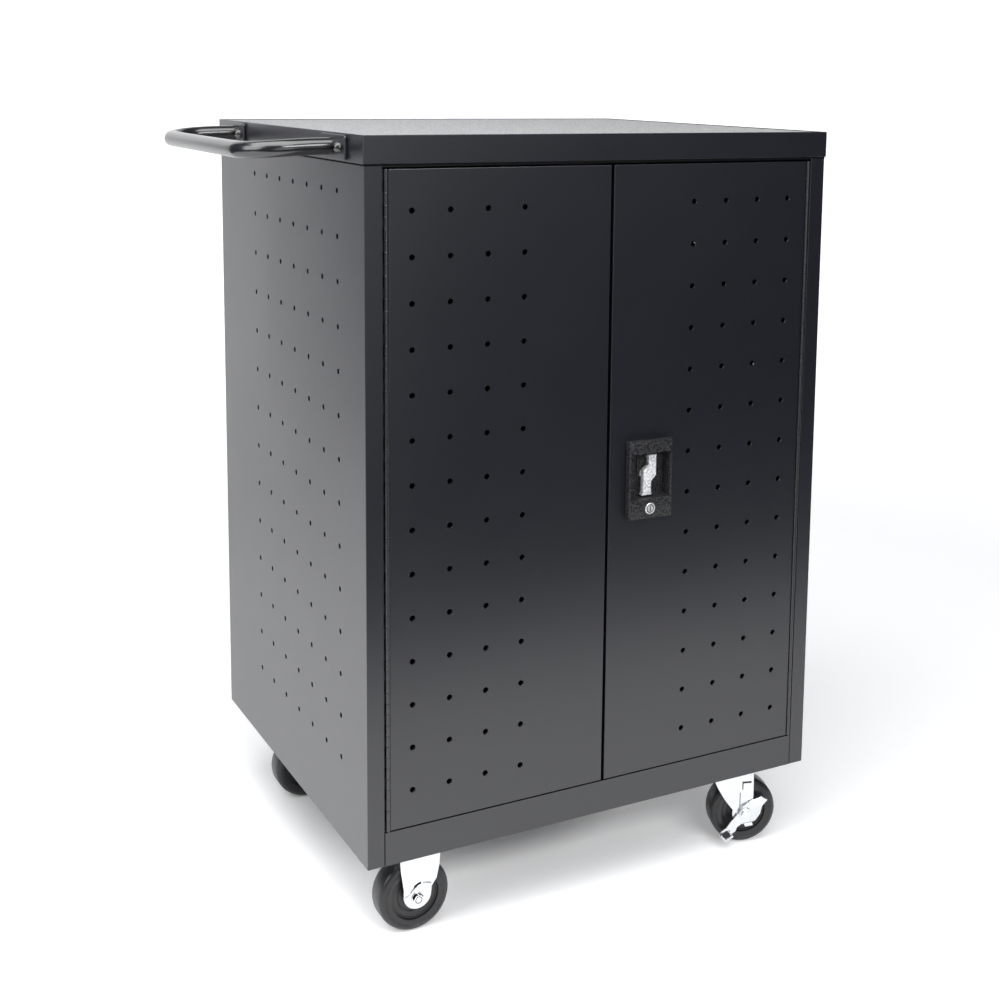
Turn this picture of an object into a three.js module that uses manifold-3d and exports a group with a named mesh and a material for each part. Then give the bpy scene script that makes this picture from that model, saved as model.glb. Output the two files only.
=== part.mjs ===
// A laptop charging cart: a perforated steel cabinet with two doors on continuous hinges, a recessed
// turn handle that throws two lock rods, a push handle on the left end and four casters.
// Millimetres, +Z up. The cabinet's own frame starts at the front left corner of the body's lower edge,
// with X to the right along the front and Y to the back. The finished cart stands on Z = 0.
import * as THREE from "three";
import { mergeVertices } from "three/addons/utils/BufferGeometryUtils.js";
import Module from "manifold-3d";

// Body
const BODY_WIDTH = 609.6;
const BODY_DEPTH = 533.4;
const BODY_HEIGHT = 796;
const SHEET = 1.5;
const SEAM = 0.3;
const STRIP_WIDTH = 20.5;
const STRIP_RETURN = 22;
const REAR_FLANGE = 20;

// Lid and its mat
const LID_HEIGHT = 30.8;
const LID_SHEET = 1.2;
const LID_RIM = 3;
const MAT_THICKNESS = 2.4;
const MAT_BELOW_RIM = 0.8;

// Bottom pan and header
const SILL_HEIGHT = 40;
const SILL_RETURN = 26;
const PAN_LIFT = 6;
const PAN_FLANGE = 24;
const HEADER_SETBACK = 3;
const HEADER_DEPTH = 40;
const HEADER_GAP = 2;

// Doors and their continuous hinges
const DOOR_SHEET = 1.2;
const DOOR_FOLD = 20;
const FOLD_SET = 0.3;
const DOOR_TOP_GAP = 5.5;
const DOOR_BOTTOM_GAP = 1.5;
const CENTRE_GAP = 4;
const HINGE_GAP = 1.8;
const KNUCKLE_RADIUS = 2.4;
const KNUCKLE_CLEARANCE = 0.4;
const KNUCKLES = 9;
const HINGE_PIN_RADIUS = 1.1;
const HINGE_PIN_PLAY = 0.3;
const LEAF_SHEET = 1.2;
const LEAF_DEPTH = 17;

// Vent holes
const VENT_DIAMETER = 6.4;
const VENT_ROW_PITCH = 50.8;
const DOOR_VENT_COLUMNS = 4;
const DOOR_VENT_PITCH = 45.7;
const DOOR_VENT_INSET = 27.2;
const DOOR_VENT_RISE = 43.5;
const DOOR_VENT_HEADROOM = 40;
const SIDE_VENT_PITCH = 50.1;
const SIDE_VENT_INSET = 82.8;
const SIDE_VENT_REAR = 140;
const SIDE_VENT_RISE = 102;
const SIDE_VENT_HEADROOM = 15;

// Recessed turn handle on the right door
const BEZEL_WIDTH = 60;
const BEZEL_HEIGHT = 95.5;
const BEZEL_PROUD = 9.5;
const BEZEL_INSET = 22.2;
const BEZEL_RISE = 325;
const RECESS_WIDTH = 55;
const RECESS_HEIGHT = 56;
const RECESS_FLOOR = 9;
const RECESS_WALL = 1.5;
const LOWER_BAR = 24;
const LEVER_LENGTH = 49;
const LEVER_WIDTH = 14;
const LEVER_STEP = 6.5;
const LEVER_LEAN = 2.2;
const LEVER_FOOT = 2.2;
const LEVER_THICKNESS = 8;
const LEVER_STANDOFF = 2;
const LEVER_TURN = 60;
const HUB_RADIUS = 6;
const SPINDLE_RADIUS = 3.5;
const SPINDLE_PLAY = 0.5;
const CAM_SHEET = 2.2;
const CAM_PIN_ORBIT = 13;
const CAM_PIN_RADIUS = 2;
const CAM_PIN_PLAY = 0.8;
const ROD_WIDTH = 12;
const ROD_SHEET = 2.5;
const ROD_SHORT = 2.5;
const ROD_PLAY = 0.6;
const GUIDE_HEIGHT = 14;
const GUIDE_SHEET = 1.5;
const GUIDE_FOOT = 9;
const GUIDE_DISTANCE = 190;
const LOCK_RADIUS = 7.8;
const LOCK_HEAD = 3;
const LOCK_PROUD = 0.8;
const LOCK_BARREL_RADIUS = 6;
const LOCK_PLAY = 0.4;
const LOCK_CAM_LENGTH = 11;
const KEYWAY_LENGTH = 7;
const KEYWAY_WIDTH = 1.4;
const KEYWAY_DEPTH = 2;

// Magnetic catch that holds the left door
const CATCH_WIDTH = 42;
const CATCH_HEIGHT = 17;
const CATCH_DEPTH = 16;
const CATCH_INSET = 14;
const CATCH_GAP = 0.5;
const STRIKE_WIDTH = 34;

// Inside: shelf, partitions, divider racks and power strips
const SHELF_RISE = 414;
const SHELF_FRONT = 28;
const SHELF_LIP = 20;
const BAY_DEPTH = 372;
const CABLE_GAP = 60;
const DIVIDERS = 11;
const DIVIDER_SHEET = 1.5;
const DIVIDER_HEIGHT = 120;
const DIVIDER_SLOPE = 45;
const RACK_FRONT = 52;
const RACK_REAR = 30;
const STRIP_BOX_LENGTH = 520;
const STRIP_BOX_DEPTH = 38;
const STRIP_BOX_HEIGHT = 48;
const STRIP_BOX_RISE = 150;
const OUTLETS = 12;
const OUTLET_PITCH = 38;
const OUTLET_SIZE = 25;
const OUTLET_DEPTH = 4;
const SWITCH_WIDTH = 13;
const SWITCH_HEIGHT = 21;
const SWITCH_POCKET = 9;
const SWITCH_PLAY = 1;
const SWITCH_PROUD = 2;
const SWITCH_PIVOT_RADIUS = 1.5;
const SWITCH_PITCH = 32;
const INLET_WIDTH = 48;
const INLET_HEIGHT = 30;
const INLET_FLANGE = 2.5;
const INLET_BODY = 24;
const INLET_WALL = 5;
const INLET_RISE = 90;
const INLET_INSET = 90;
const INLET_PIN = 3;
const INLET_PIN_PITCH = 8;

// Push handle on the lid's left end
const TUBE_RADIUS = 9.5;
const HANDLE_REACH = 97;
const HANDLE_DROP = 5;
const HANDLE_BEND = 47;
const HANDLE_SHIFT = 1.8;
const HANDLE_SPAN = 369;
const HANDLE_STEPS = 26;
const PLATE_LENGTH = 78;
const PLATE_HEIGHT = 27;
const PLATE_SHEET = 3;
const BOLT_SPREAD = 50;
const BOLT_RADIUS = 3;
const BOLT_HEAD_RADIUS = 5.5;
const BOLT_HEAD_HEIGHT = 4;
const BOLT_REACH = 8;

// Casters
const CASTER_DROP = 105.5;
const FRONT_CASTER_SETBACK = 42;
const REAR_CASTER_SETBACK = 113.4;
const RIGID_INSET = 69;
const SWIVEL_INSET = 91;
const TRAIL = 20;
const FRONT_SWIVEL_TURN = 18;
const REAR_SWIVEL_TURN = 0;
const WHEEL_RADIUS = 44;
const WHEEL_WIDTH = 32;
const WHEEL_SHOULDER = 4;
const TYRE_DEPTH = 12;
const WEB_WIDTH = 22;
const WHEEL_HUB_RADIUS = 14;
const AXLE_RADIUS = 4;
const AXLE_PLAY = 0.5;
const AXLE_HEAD_RADIUS = 7;
const AXLE_HEAD_HEIGHT = 5;
const FORK_SHEET = 2.5;
const FORK_PLAY = 2.5;
const FORK_END_RADIUS = 15.5;
const RIGID_TOP_WIDTH = 51;
const RIGID_SKEW = 5;
const CASTER_PLATE_LENGTH = 95;
const CASTER_PLATE_WIDTH = 62;
const CASTER_PLATE_SHEET = 2.5;
const RACE_RADIUS = 26;
const RACE_HEIGHT = 7;
const RACE_GAP = 0.5;
const CROWN_LENGTH = 60;
const KINGPIN_RADIUS = 5;
const KINGPIN_PLAY = 0.4;
const KINGPIN_HEAD_RADIUS = 9;
const KINGPIN_HEAD_HEIGHT = 3;
const BRAKE_SHEET = 2.5;
const BRAKE_GAP = 1;
const BRAKE_HUB_RADIUS = 14;
const BRAKE_BAR_WIDTH = 14;
const BRAKE_ARM = 38;
const BRAKE_ARM_ANGLE = 219;
const BRAKE_TAB = 33;
const BRAKE_TAB_ANGLE = 22;
const BRAKE_PEDAL = 9;

// Facets
const VENT_SIDES = 6;
const ROUND_SIDES = 12;
const SMALL_SIDES = 8;
const TUBE_SIDES = 10;
const WHEEL_SIDES = 16;

// Places that follow from the sizes above
const LID_LIP = LID_SHEET + SEAM;
const LID_TOP = BODY_HEIGHT + LID_HEIGHT;
const DECK_TOP = LID_TOP - MAT_BELOW_RIM - MAT_THICKNESS - SEAM;
const SIDE_TOP = DECK_TOP - LID_SHEET - SEAM;
const INNER_LEFT = SHEET + SEAM;
const INNER_RIGHT = BODY_WIDTH - INNER_LEFT;
const INNER_BACK = BODY_DEPTH - 2 * (SHEET + SEAM);
const SILL_LEFT = STRIP_WIDTH + SEAM;
const SILL_RIGHT = BODY_WIDTH - SILL_LEFT;
const HINGE_AXIS = STRIP_WIDTH + HINGE_GAP + KNUCKLE_RADIUS;
const DOOR_EDGE = HINGE_AXIS + KNUCKLE_RADIUS + KNUCKLE_CLEARANCE;
const DOOR_FREE_EDGE = (BODY_WIDTH - CENTRE_GAP) / 2;
const DOOR_BOTTOM = SILL_HEIGHT + DOOR_BOTTOM_GAP;
const DOOR_TOP = BODY_HEIGHT - DOOR_TOP_GAP;
const HEADER_BOTTOM = DOOR_TOP + HEADER_GAP;
const PAN_TOP = PAN_LIFT + SHEET;
const SHELF_TOP = SHELF_RISE + SHEET;
const PARTITION_FRONT = SHELF_FRONT + BAY_DEPTH;
const RACK_LEFT = INNER_LEFT + SHEET + SEAM;
const RACK_RIGHT = INNER_RIGHT - SHEET - SEAM;
const SLOT_PITCH = (RACK_RIGHT - RACK_LEFT) / (DIVIDERS + 1);
const LATCH_LEFT = BODY_WIDTH - DOOR_FREE_EDGE + BEZEL_INSET;
const LATCH_BOTTOM = DOOR_BOTTOM + BEZEL_RISE;
const LATCH_X = LATCH_LEFT + BEZEL_WIDTH / 2;
const LATCH_Z = LATCH_BOTTOM + LOWER_BAR + RECESS_HEIGHT / 2;
const LOCK_Z = LATCH_BOTTOM + LOWER_BAR / 2;
const CAM_FRONT = RECESS_FLOOR + RECESS_WALL + SEAM;
const ROD_FRONT = CAM_FRONT + CAM_SHEET + SEAM;
const ROD_BACK = ROD_FRONT + ROD_SHEET;
const ROD_OFFSET = CAM_PIN_ORBIT - ROD_WIDTH / 6;
const PIN_DROP = CAM_PIN_ORBIT * Math.sin(THREE.MathUtils.degToRad(LEVER_TURN / 2));
const PIN_SHIFT = CAM_PIN_ORBIT * Math.cos(THREE.MathUtils.degToRad(LEVER_TURN / 2));
const AXLE_Z = WHEEL_RADIUS - CASTER_DROP;
const CASTER_TOP = PAN_LIFT - AXLE_Z - SEAM;
const LEG_INNER = WHEEL_WIDTH / 2 + FORK_PLAY;
const LEG_OUTER = LEG_INNER + FORK_SHEET;

const wasm = await Module();
wasm.setup();

// A closed geometry as a solid that can be joined and cut.
function solid(geometry) {
  const bare = geometry.clone();
  bare.deleteAttribute("normal");
  bare.deleteAttribute("uv");
  const merged = mergeVertices(bare);
  const corners = merged.index.array;
  const triVerts = [];
  for (let i = 0; i < corners.length; i += 3) {
    const [a, b, c] = [corners[i], corners[i + 1], corners[i + 2]];
    if (a !== b && b !== c && c !== a) triVerts.push(a, b, c);
  }
  const vertProperties = merged.attributes.position.array;
  const mesh = new wasm.Mesh({ numProp: 3, vertProperties, triVerts: new Uint32Array(triVerts) });
  return new wasm.Manifold(mesh);
}

function join(...solids) {
  return solids.reduce((whole, piece) => whole.add(piece));
}

function cut(body, ...tools) {
  return tools.reduce((left, tool) => left.subtract(tool), body);
}

// A block between two opposite corners, given in any order.
function block([x0, x1], [y0, y1], [z0, z1]) {
  const size = [Math.abs(x1 - x0), Math.abs(y1 - y0), Math.abs(z1 - z0)];
  const geometry = new THREE.BoxGeometry(...size);
  return solid(geometry.translate((x0 + x1) / 2, (y0 + y1) / 2, (z0 + z1) / 2));
}

// A round bar along one axis, from one place on it to another, around the given centre.
function bar(axis, [from, to], radius, centre, sides = ROUND_SIDES) {
  const geometry = new THREE.CylinderGeometry(radius, radius, Math.abs(to - from), sides);
  geometry.rotateY(Math.PI / sides);
  if (axis === "x") geometry.rotateZ(Math.PI / 2);
  if (axis === "z") geometry.rotateX(Math.PI / 2);
  const middle = (from + to) / 2;
  const [u, v] = centre;
  const place = { x: [middle, u, v], y: [u, middle, v], z: [u, v, middle] }[axis];
  return solid(geometry.translate(...place));
}

// An outline drawn in X and Z, as thick as the given stretch of Y.
function plateXZ(shape, [y0, y1], curveSegments = SMALL_SIDES) {
  const settings = { depth: y1 - y0, bevelEnabled: false, curveSegments };
  const geometry = new THREE.ExtrudeGeometry(shape, settings);
  return solid(geometry.rotateX(Math.PI / 2).translate(0, y1, 0));
}

// An outline drawn in Y and Z, as thick as the given stretch of X.
function plateYZ(shape, [x0, x1]) {
  const geometry = new THREE.ExtrudeGeometry(shape, { depth: x1 - x0, bevelEnabled: false });
  const turn = new THREE.Matrix4().makeBasis(
    new THREE.Vector3(0, 1, 0),
    new THREE.Vector3(0, 0, 1),
    new THREE.Vector3(1, 0, 0),
  );
  return solid(geometry.applyMatrix4(turn).translate(x0, 0, 0));
}

// An outline drawn in X and Y, as tall as the given stretch of Z.
function plateXY(shape, [z0, z1]) {
  const geometry = new THREE.ExtrudeGeometry(shape, { depth: z1 - z0, bevelEnabled: false });
  return solid(geometry.translate(0, 0, z0));
}

// Places at a steady pitch from the first one up to a limit.
function places(first, limit, pitch) {
  const found = [];
  for (let at = first; at <= limit; at += pitch) found.push(at);
  return found;
}

// Turns a distance from one end of the cabinet into a place along X.
function fromSide(side) {
  return (inset) => (side === "left" ? inset : BODY_WIDTH - inset);
}

const BLACK_COAT = new THREE.MeshStandardMaterial({ color: 0x1d1e21, roughness: 0.5, metalness: 0.2 });
const BLACK_TUBE = new THREE.MeshStandardMaterial({ color: 0x141517, roughness: 0.3, metalness: 0.2 });
const BLACK_CRINKLE = new THREE.MeshStandardMaterial({ color: 0x17171a, roughness: 0.7, metalness: 0.1 });
const GREY_MAT = new THREE.MeshStandardMaterial({ color: 0x6d6e70, roughness: 0.9, metalness: 0 });
const ZINC = new THREE.MeshStandardMaterial({ color: 0xc9ced3, roughness: 0.3, metalness: 1 });
const HAMMERED = new THREE.MeshStandardMaterial({ color: 0xb4b6b9, roughness: 0.35, metalness: 0.9 });
const CHROME = new THREE.MeshStandardMaterial({ color: 0xd9dadc, roughness: 0.12, metalness: 1 });
const RUBBER = new THREE.MeshStandardMaterial({ color: 0x202124, roughness: 0.6, metalness: 0 });
const BLACK_PLASTIC = new THREE.MeshStandardMaterial({ color: 0x19191b, roughness: 0.55, metalness: 0 });

const cabinet = new THREE.Group();

// Adds a finished solid to a group as a named mesh.
function piece(group, name, body, finish) {
  const { vertProperties, triVerts } = body.getMesh();
  const geometry = new THREE.BufferGeometry();
  geometry.setAttribute("position", new THREE.BufferAttribute(vertProperties, 3));
  geometry.setIndex(new THREE.BufferAttribute(triVerts, 1));
  geometry.computeVertexNormals();
  const mesh = new THREE.Mesh(geometry, finish);
  mesh.name = name;
  group.add(mesh);
}

// Bolt places along Y on the lid's left end, two for each handle plate.
const HANDLE_FRONT_ARM = (BODY_DEPTH - HANDLE_SPAN) / 2 + HANDLE_SHIFT;
const HANDLE_ARMS = [HANDLE_FRONT_ARM, HANDLE_FRONT_ARM + HANDLE_SPAN];
const HANDLE_Z = BODY_HEIGHT + LID_HEIGHT / 2;
const HANDLE_BOLTS = HANDLE_ARMS.flatMap((arm) => [arm - BOLT_SPREAD / 2, arm + BOLT_SPREAD / 2]);
const PLATE_BACK = -LID_LIP - SEAM;
const PLATE_FACE = PLATE_BACK - PLATE_SHEET;

function handleBoltHoles() {
  const reach = [PLATE_FACE - SEAM, BOLT_REACH];
  return HANDLE_BOLTS.map((y) => bar("x", reach, BOLT_RADIUS + SEAM, [y, HANDLE_Z], SMALL_SIDES));
}

// A side wall folded round the front corner into a strip, with a return for the hinge and a rear flange.
function sidePanel(side) {
  const x = fromSide(side);
  const rear = INNER_BACK + SEAM;
  const folds = [
    [0, 0],
    [STRIP_WIDTH, 0],
    [STRIP_WIDTH, STRIP_RETURN],
    [STRIP_WIDTH - SHEET, STRIP_RETURN],
    [STRIP_WIDTH - SHEET, SHEET],
    [SHEET, SHEET],
    [SHEET, rear],
    [REAR_FLANGE, rear],
    [REAR_FLANGE, rear + SHEET],
    [SHEET, rear + SHEET],
    [SHEET, BODY_DEPTH],
    [0, BODY_DEPTH],
  ];
  const profile = new THREE.Shape(folds.map(([inset, y]) => new THREE.Vector2(x(inset), y)));
  const columns = places(SIDE_VENT_INSET, BODY_DEPTH - SIDE_VENT_REAR, SIDE_VENT_PITCH);
  const rows = places(SIDE_VENT_RISE, BODY_HEIGHT - SIDE_VENT_HEADROOM, VENT_ROW_PITCH);
  const through = [x(-SEAM), x(SHEET + SEAM)];
  const spots = columns.flatMap((y) => rows.map((z) => [y, z]));
  const vents = spots.map((spot) => bar("x", through, VENT_DIAMETER / 2, spot, VENT_SIDES));
  const notchX = [x(STRIP_WIDTH - SHEET - SEAM), x(STRIP_WIDTH + SEAM)];
  const notch = block(notchX, [SHEET + SEAM, STRIP_RETURN + SEAM], [-SEAM, DOOR_BOTTOM]);
  const body = cut(plateXY(profile, [0, SIDE_TOP]), wasm.Manifold.union(vents), notch);
  return side === "left" ? cut(body, ...handleBoltHoles()) : body;
}

piece(cabinet, "left_side_panel", sidePanel("left"), BLACK_COAT);
piece(cabinet, "right_side_panel", sidePanel("right"), BLACK_COAT);

// Back panel with the cut-out for the power inlet
const INLET_X = BODY_WIDTH - INLET_INSET;
const inletSpanX = (margin) => {
  const half = INLET_WIDTH / 2 - margin;
  return [INLET_X - half, INLET_X + half];
};
const inletSpanZ = (margin) => {
  const half = INLET_HEIGHT / 2 - margin;
  return [INLET_RISE - half, INLET_RISE + half];
};
const backSheet = [BODY_DEPTH - SHEET, BODY_DEPTH];
const inletDepth = [BODY_DEPTH - INLET_BODY, BODY_DEPTH + SHEET];
const inletHole = block(inletSpanX(INLET_WALL - SEAM), inletDepth, inletSpanZ(INLET_WALL - SEAM));
const backPanel = cut(block([INNER_LEFT, INNER_RIGHT], backSheet, [0, SIDE_TOP]), inletHole);
piece(cabinet, "back_panel", backPanel, BLACK_COAT);

// Power inlet: a flange outside the back panel, a body behind it and three contact pins in its well
function powerInlet() {
  const well = INLET_WALL + SHEET;
  const face = [BODY_DEPTH + SEAM, BODY_DEPTH + SEAM + INLET_FLANGE];
  const body = [BODY_DEPTH + SEAM - INLET_BODY, face[1]];
  const floor = body[0] + SHEET;
  const shell = join(
    block(inletSpanX(0), face, inletSpanZ(0)),
    block(inletSpanX(INLET_WALL), body, inletSpanZ(INLET_WALL)),
  );
  const hollow = cut(shell, block(inletSpanX(well), [floor, face[1] + SEAM], inletSpanZ(well)));
  const pins = [-INLET_PIN_PITCH, 0, INLET_PIN_PITCH].map((shift) => {
    const spanX = [INLET_X + shift - INLET_PIN / 2, INLET_X + shift + INLET_PIN / 2];
    return block(spanX, [body[0], face[0]], [INLET_RISE - INLET_PIN, INLET_RISE + INLET_PIN]);
  });
  return join(hollow, ...pins);
}

piece(cabinet, "power_inlet", powerInlet(), BLACK_PLASTIC);

// Bottom pan: floor, front sill with a rear return, and flanges up the side walls
const rodGate = (x, z) => {
  const spanX = [x - ROD_WIDTH / 2 - ROD_PLAY, x + ROD_WIDTH / 2 + ROD_PLAY];
  return block(spanX, [ROD_FRONT - ROD_PLAY, ROD_BACK + ROD_PLAY], [z - SHEET - SEAM, z + SHEET + SEAM]);
};
const UPPER_ROD_X = LATCH_X + ROD_OFFSET;
const LOWER_ROD_X = LATCH_X - ROD_OFFSET;

function bottomPan() {
  const floor = block([INNER_LEFT, INNER_RIGHT], [INNER_LEFT + SEAM, INNER_BACK], [PAN_LIFT, PAN_TOP]);
  const tongue = block([SILL_LEFT, SILL_RIGHT], [0, SHEET + INNER_LEFT], [PAN_LIFT, PAN_TOP]);
  const sill = block([SILL_LEFT, SILL_RIGHT], [0, SHEET], [0, SILL_HEIGHT]);
  const ledge = block([SILL_LEFT, SILL_RIGHT], [0, SILL_RETURN], [SILL_HEIGHT - SHEET, SILL_HEIGHT]);
  const flanges = ["left", "right"].map((side) => {
    const x = fromSide(side);
    const fold = [x(INNER_LEFT), x(INNER_LEFT + SHEET)];
    return block(fold, [STRIP_RETURN, INNER_BACK], [PAN_LIFT, PAN_LIFT + PAN_FLANGE]);
  });
  const gate = rodGate(LOWER_ROD_X, SILL_HEIGHT - SHEET / 2);
  return cut(join(floor, tongue, sill, ledge, ...flanges), gate);
}

piece(cabinet, "bottom_pan", bottomPan(), BLACK_COAT);

// Header rail over the doors, with the gate for the upper lock rod
function headerRail() {
  const span = [SILL_LEFT, SILL_RIGHT];
  const web = block(span, [HEADER_SETBACK, HEADER_SETBACK + SHEET], [HEADER_BOTTOM, SIDE_TOP]);
  const ledge = block(span, [HEADER_SETBACK, HEADER_DEPTH], [HEADER_BOTTOM, HEADER_BOTTOM + SHEET]);
  return cut(join(web, ledge), rodGate(UPPER_ROD_X, HEADER_BOTTOM + SHEET / 2));
}

piece(cabinet, "header_rail", headerRail(), BLACK_COAT);

// Lid: a tray turned over the body, with a thin rim around the mat
function topLid() {
  const spanX = (grow) => [-grow, BODY_WIDTH + grow];
  const spanY = (grow) => [-grow, BODY_DEPTH + grow];
  const outside = block(spanX(LID_LIP), spanY(LID_LIP), [BODY_HEIGHT, LID_TOP]);
  const under = block(spanX(SEAM), spanY(SEAM), [BODY_HEIGHT - SHEET, DECK_TOP - LID_SHEET]);
  const tray = block(spanX(LID_LIP - LID_RIM), spanY(LID_LIP - LID_RIM), [DECK_TOP, LID_TOP + SHEET]);
  return cut(outside, under, tray, ...handleBoltHoles());
}

const MAT_INSET = LID_RIM - LID_LIP + SEAM;
const matSpan = (length) => [MAT_INSET, length - MAT_INSET];
const MAT_BOTTOM = DECK_TOP + SEAM;
const topMat = block(matSpan(BODY_WIDTH), matSpan(BODY_DEPTH), [MAT_BOTTOM, MAT_BOTTOM + MAT_THICKNESS]);
piece(cabinet, "top_lid", topLid(), BLACK_COAT);
piece(cabinet, "top_mat", topMat, GREY_MAT);

// Middle shelf, which parts the two bays and carries the upper rack: a tray turned over, open at the back
function middleShelf() {
  const trayZ = [SHELF_TOP - SHELF_LIP, SHELF_TOP];
  const tray = block([INNER_LEFT, INNER_RIGHT], [SHELF_FRONT, INNER_BACK], trayZ);
  const underX = [INNER_LEFT + SHEET, INNER_RIGHT - SHEET];
  const underY = [SHELF_FRONT + SHEET, INNER_BACK + SEAM];
  return cut(tray, block(underX, underY, [SHELF_TOP - SHELF_LIP - SEAM, SHELF_RISE]));
}

piece(cabinet, "middle_shelf", middleShelf(), BLACK_COAT);

// A partition behind a bay, short of the bay's roof so that charger leads pass over it
function partition(floor, roof) {
  const base = floor + SEAM;
  const profile = new THREE.Shape([
    new THREE.Vector2(PARTITION_FRONT, base),
    new THREE.Vector2(PARTITION_FRONT + SHELF_LIP, base),
    new THREE.Vector2(PARTITION_FRONT + SHELF_LIP, base + SHEET),
    new THREE.Vector2(PARTITION_FRONT + SHEET, base + SHEET),
    new THREE.Vector2(PARTITION_FRONT + SHEET, roof - CABLE_GAP),
    new THREE.Vector2(PARTITION_FRONT, roof - CABLE_GAP),
  ]);
  return plateYZ(profile, [RACK_LEFT, RACK_RIGHT]);
}

piece(cabinet, "lower_partition", partition(PAN_TOP, SHELF_RISE), BLACK_COAT);
piece(cabinet, "upper_partition", partition(SHELF_TOP, HEADER_BOTTOM), BLACK_COAT);

// A rack of upright dividers, one slot for each laptop, with sloping front corners

function dividerRack(floor) {
  const spanY = [RACK_FRONT, PARTITION_FRONT - RACK_REAR];
  const base = floor + SEAM;
  const top = base + DIVIDER_HEIGHT;
  const outline = new THREE.Shape([
    new THREE.Vector2(spanY[0], base),
    new THREE.Vector2(spanY[1], base),
    new THREE.Vector2(spanY[1], top),
    new THREE.Vector2(spanY[0] + DIVIDER_SLOPE, top),
    new THREE.Vector2(spanY[0], top - DIVIDER_SLOPE),
  ]);
  const uprights = [];
  for (let i = 1; i <= DIVIDERS; i += 1) {
    const x = RACK_LEFT + i * SLOT_PITCH;
    uprights.push(plateYZ(outline, [x - DIVIDER_SHEET / 2, x + DIVIDER_SHEET / 2]));
  }
  return join(block([RACK_LEFT, RACK_RIGHT], spanY, [base, base + SHEET]), ...uprights);
}

piece(cabinet, "lower_divider_rack", dividerRack(PAN_TOP), BLACK_PLASTIC);
piece(cabinet, "upper_divider_rack", dividerRack(SHELF_TOP), BLACK_PLASTIC);

// A power strip on the back of a partition, with a row of outlets and a rocker switch at its left end
const STRIP_BOX_LEFT = (BODY_WIDTH - STRIP_BOX_LENGTH) / 2;
const STRIP_BOX_FRONT = PARTITION_FRONT + SHEET + SEAM;
const STRIP_BOX_BACK = STRIP_BOX_FRONT + STRIP_BOX_DEPTH;
const SWITCH_X = STRIP_BOX_LEFT + SWITCH_PITCH;

function powerStrip(floor) {
  const z = floor + STRIP_BOX_RISE;
  const around = (middle, size) => [middle - size / 2, middle + size / 2];
  const spanX = [STRIP_BOX_LEFT, STRIP_BOX_LEFT + STRIP_BOX_LENGTH];
  const box = block(spanX, [STRIP_BOX_FRONT, STRIP_BOX_BACK], around(z, STRIP_BOX_HEIGHT));
  const outletDepth = [STRIP_BOX_BACK - OUTLET_DEPTH, STRIP_BOX_BACK + SEAM];
  const outletX = places(SWITCH_X + OUTLET_PITCH, spanX[1] - OUTLET_SIZE, OUTLET_PITCH).slice(0, OUTLETS);
  const wells = outletX.map((x) => block(around(x, OUTLET_SIZE), outletDepth, around(z, OUTLET_SIZE)));
  const pocketX = around(SWITCH_X, SWITCH_WIDTH + 2 * SWITCH_PLAY);
  const pocketDepth = [STRIP_BOX_BACK - SWITCH_POCKET, STRIP_BOX_BACK + SEAM];
  const pocket = block(pocketX, pocketDepth, around(z, SWITCH_HEIGHT + 2 * SWITCH_PLAY));
  const pivotY = STRIP_BOX_BACK - SWITCH_POCKET / 2;
  const pivot = bar("x", pocketX, SWITCH_PIVOT_RADIUS, [pivotY, z], SMALL_SIDES);
  return join(cut(box, ...wells, pocket), pivot);
}

// A rocker with two slanting halves, turning on the pivot in its pocket
function rockerSwitch(floor) {
  const z = floor + STRIP_BOX_RISE;
  const pivotY = STRIP_BOX_BACK - SWITCH_POCKET / 2;
  const face = STRIP_BOX_BACK + SWITCH_PROUD;
  const outline = new THREE.Shape([
    new THREE.Vector2(pivotY - SWITCH_PIVOT_RADIUS - SWITCH_PLAY, z - SWITCH_HEIGHT / 4),
    new THREE.Vector2(face, z - SWITCH_HEIGHT / 2),
    new THREE.Vector2(face - SWITCH_PROUD, z),
    new THREE.Vector2(face, z + SWITCH_HEIGHT / 2),
    new THREE.Vector2(pivotY - SWITCH_PIVOT_RADIUS - SWITCH_PLAY, z + SWITCH_HEIGHT / 4),
  ]);
  const spanX = [SWITCH_X - SWITCH_WIDTH / 2, SWITCH_X + SWITCH_WIDTH / 2];
  const through = [spanX[0] - SEAM, spanX[1] + SEAM];
  const bore = bar("x", through, SWITCH_PIVOT_RADIUS + SEAM, [pivotY, z], SMALL_SIDES);
  return cut(plateYZ(outline, spanX), bore);
}

for (const [level, floor] of [["lower", PAN_TOP], ["upper", SHELF_TOP]]) {
  piece(cabinet, `${level}_power_strip`, powerStrip(floor), BLACK_PLASTIC);
  piece(cabinet, `${level}_rocker_switch`, rockerSwitch(floor), BLACK_PLASTIC);
}

// Doors: folded pans with vent holes near the hinge
const doorHeight = [DOOR_BOTTOM, DOOR_TOP];

function doorPanel(side) {
  const x = fromSide(side);
  const pan = (inset, spanY) => {
    const spanX = [x(DOOR_EDGE + inset), x(DOOR_FREE_EDGE - inset)];
    return block(spanX, spanY, [DOOR_BOTTOM + inset, DOOR_TOP - inset]);
  };
  const rows = places(DOOR_BOTTOM + DOOR_VENT_RISE, DOOR_TOP - DOOR_VENT_HEADROOM, VENT_ROW_PITCH);
  const through = [-SEAM, DOOR_SHEET + SEAM];
  const vents = [];
  for (let i = 0; i < DOOR_VENT_COLUMNS; i += 1) {
    const column = x(DOOR_EDGE + DOOR_VENT_INSET + i * DOOR_VENT_PITCH);
    rows.forEach((z) => vents.push(bar("y", through, VENT_DIAMETER / 2, [column, z], VENT_SIDES)));
  }
  const hollow = pan(FOLD_SET + DOOR_SHEET, [0, DOOR_FOLD + SEAM]);
  const folds = cut(pan(FOLD_SET, [DOOR_SHEET / 2, DOOR_FOLD]), hollow);
  return cut(join(pan(0, [0, DOOR_SHEET]), folds), wasm.Manifold.union(vents));
}

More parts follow.
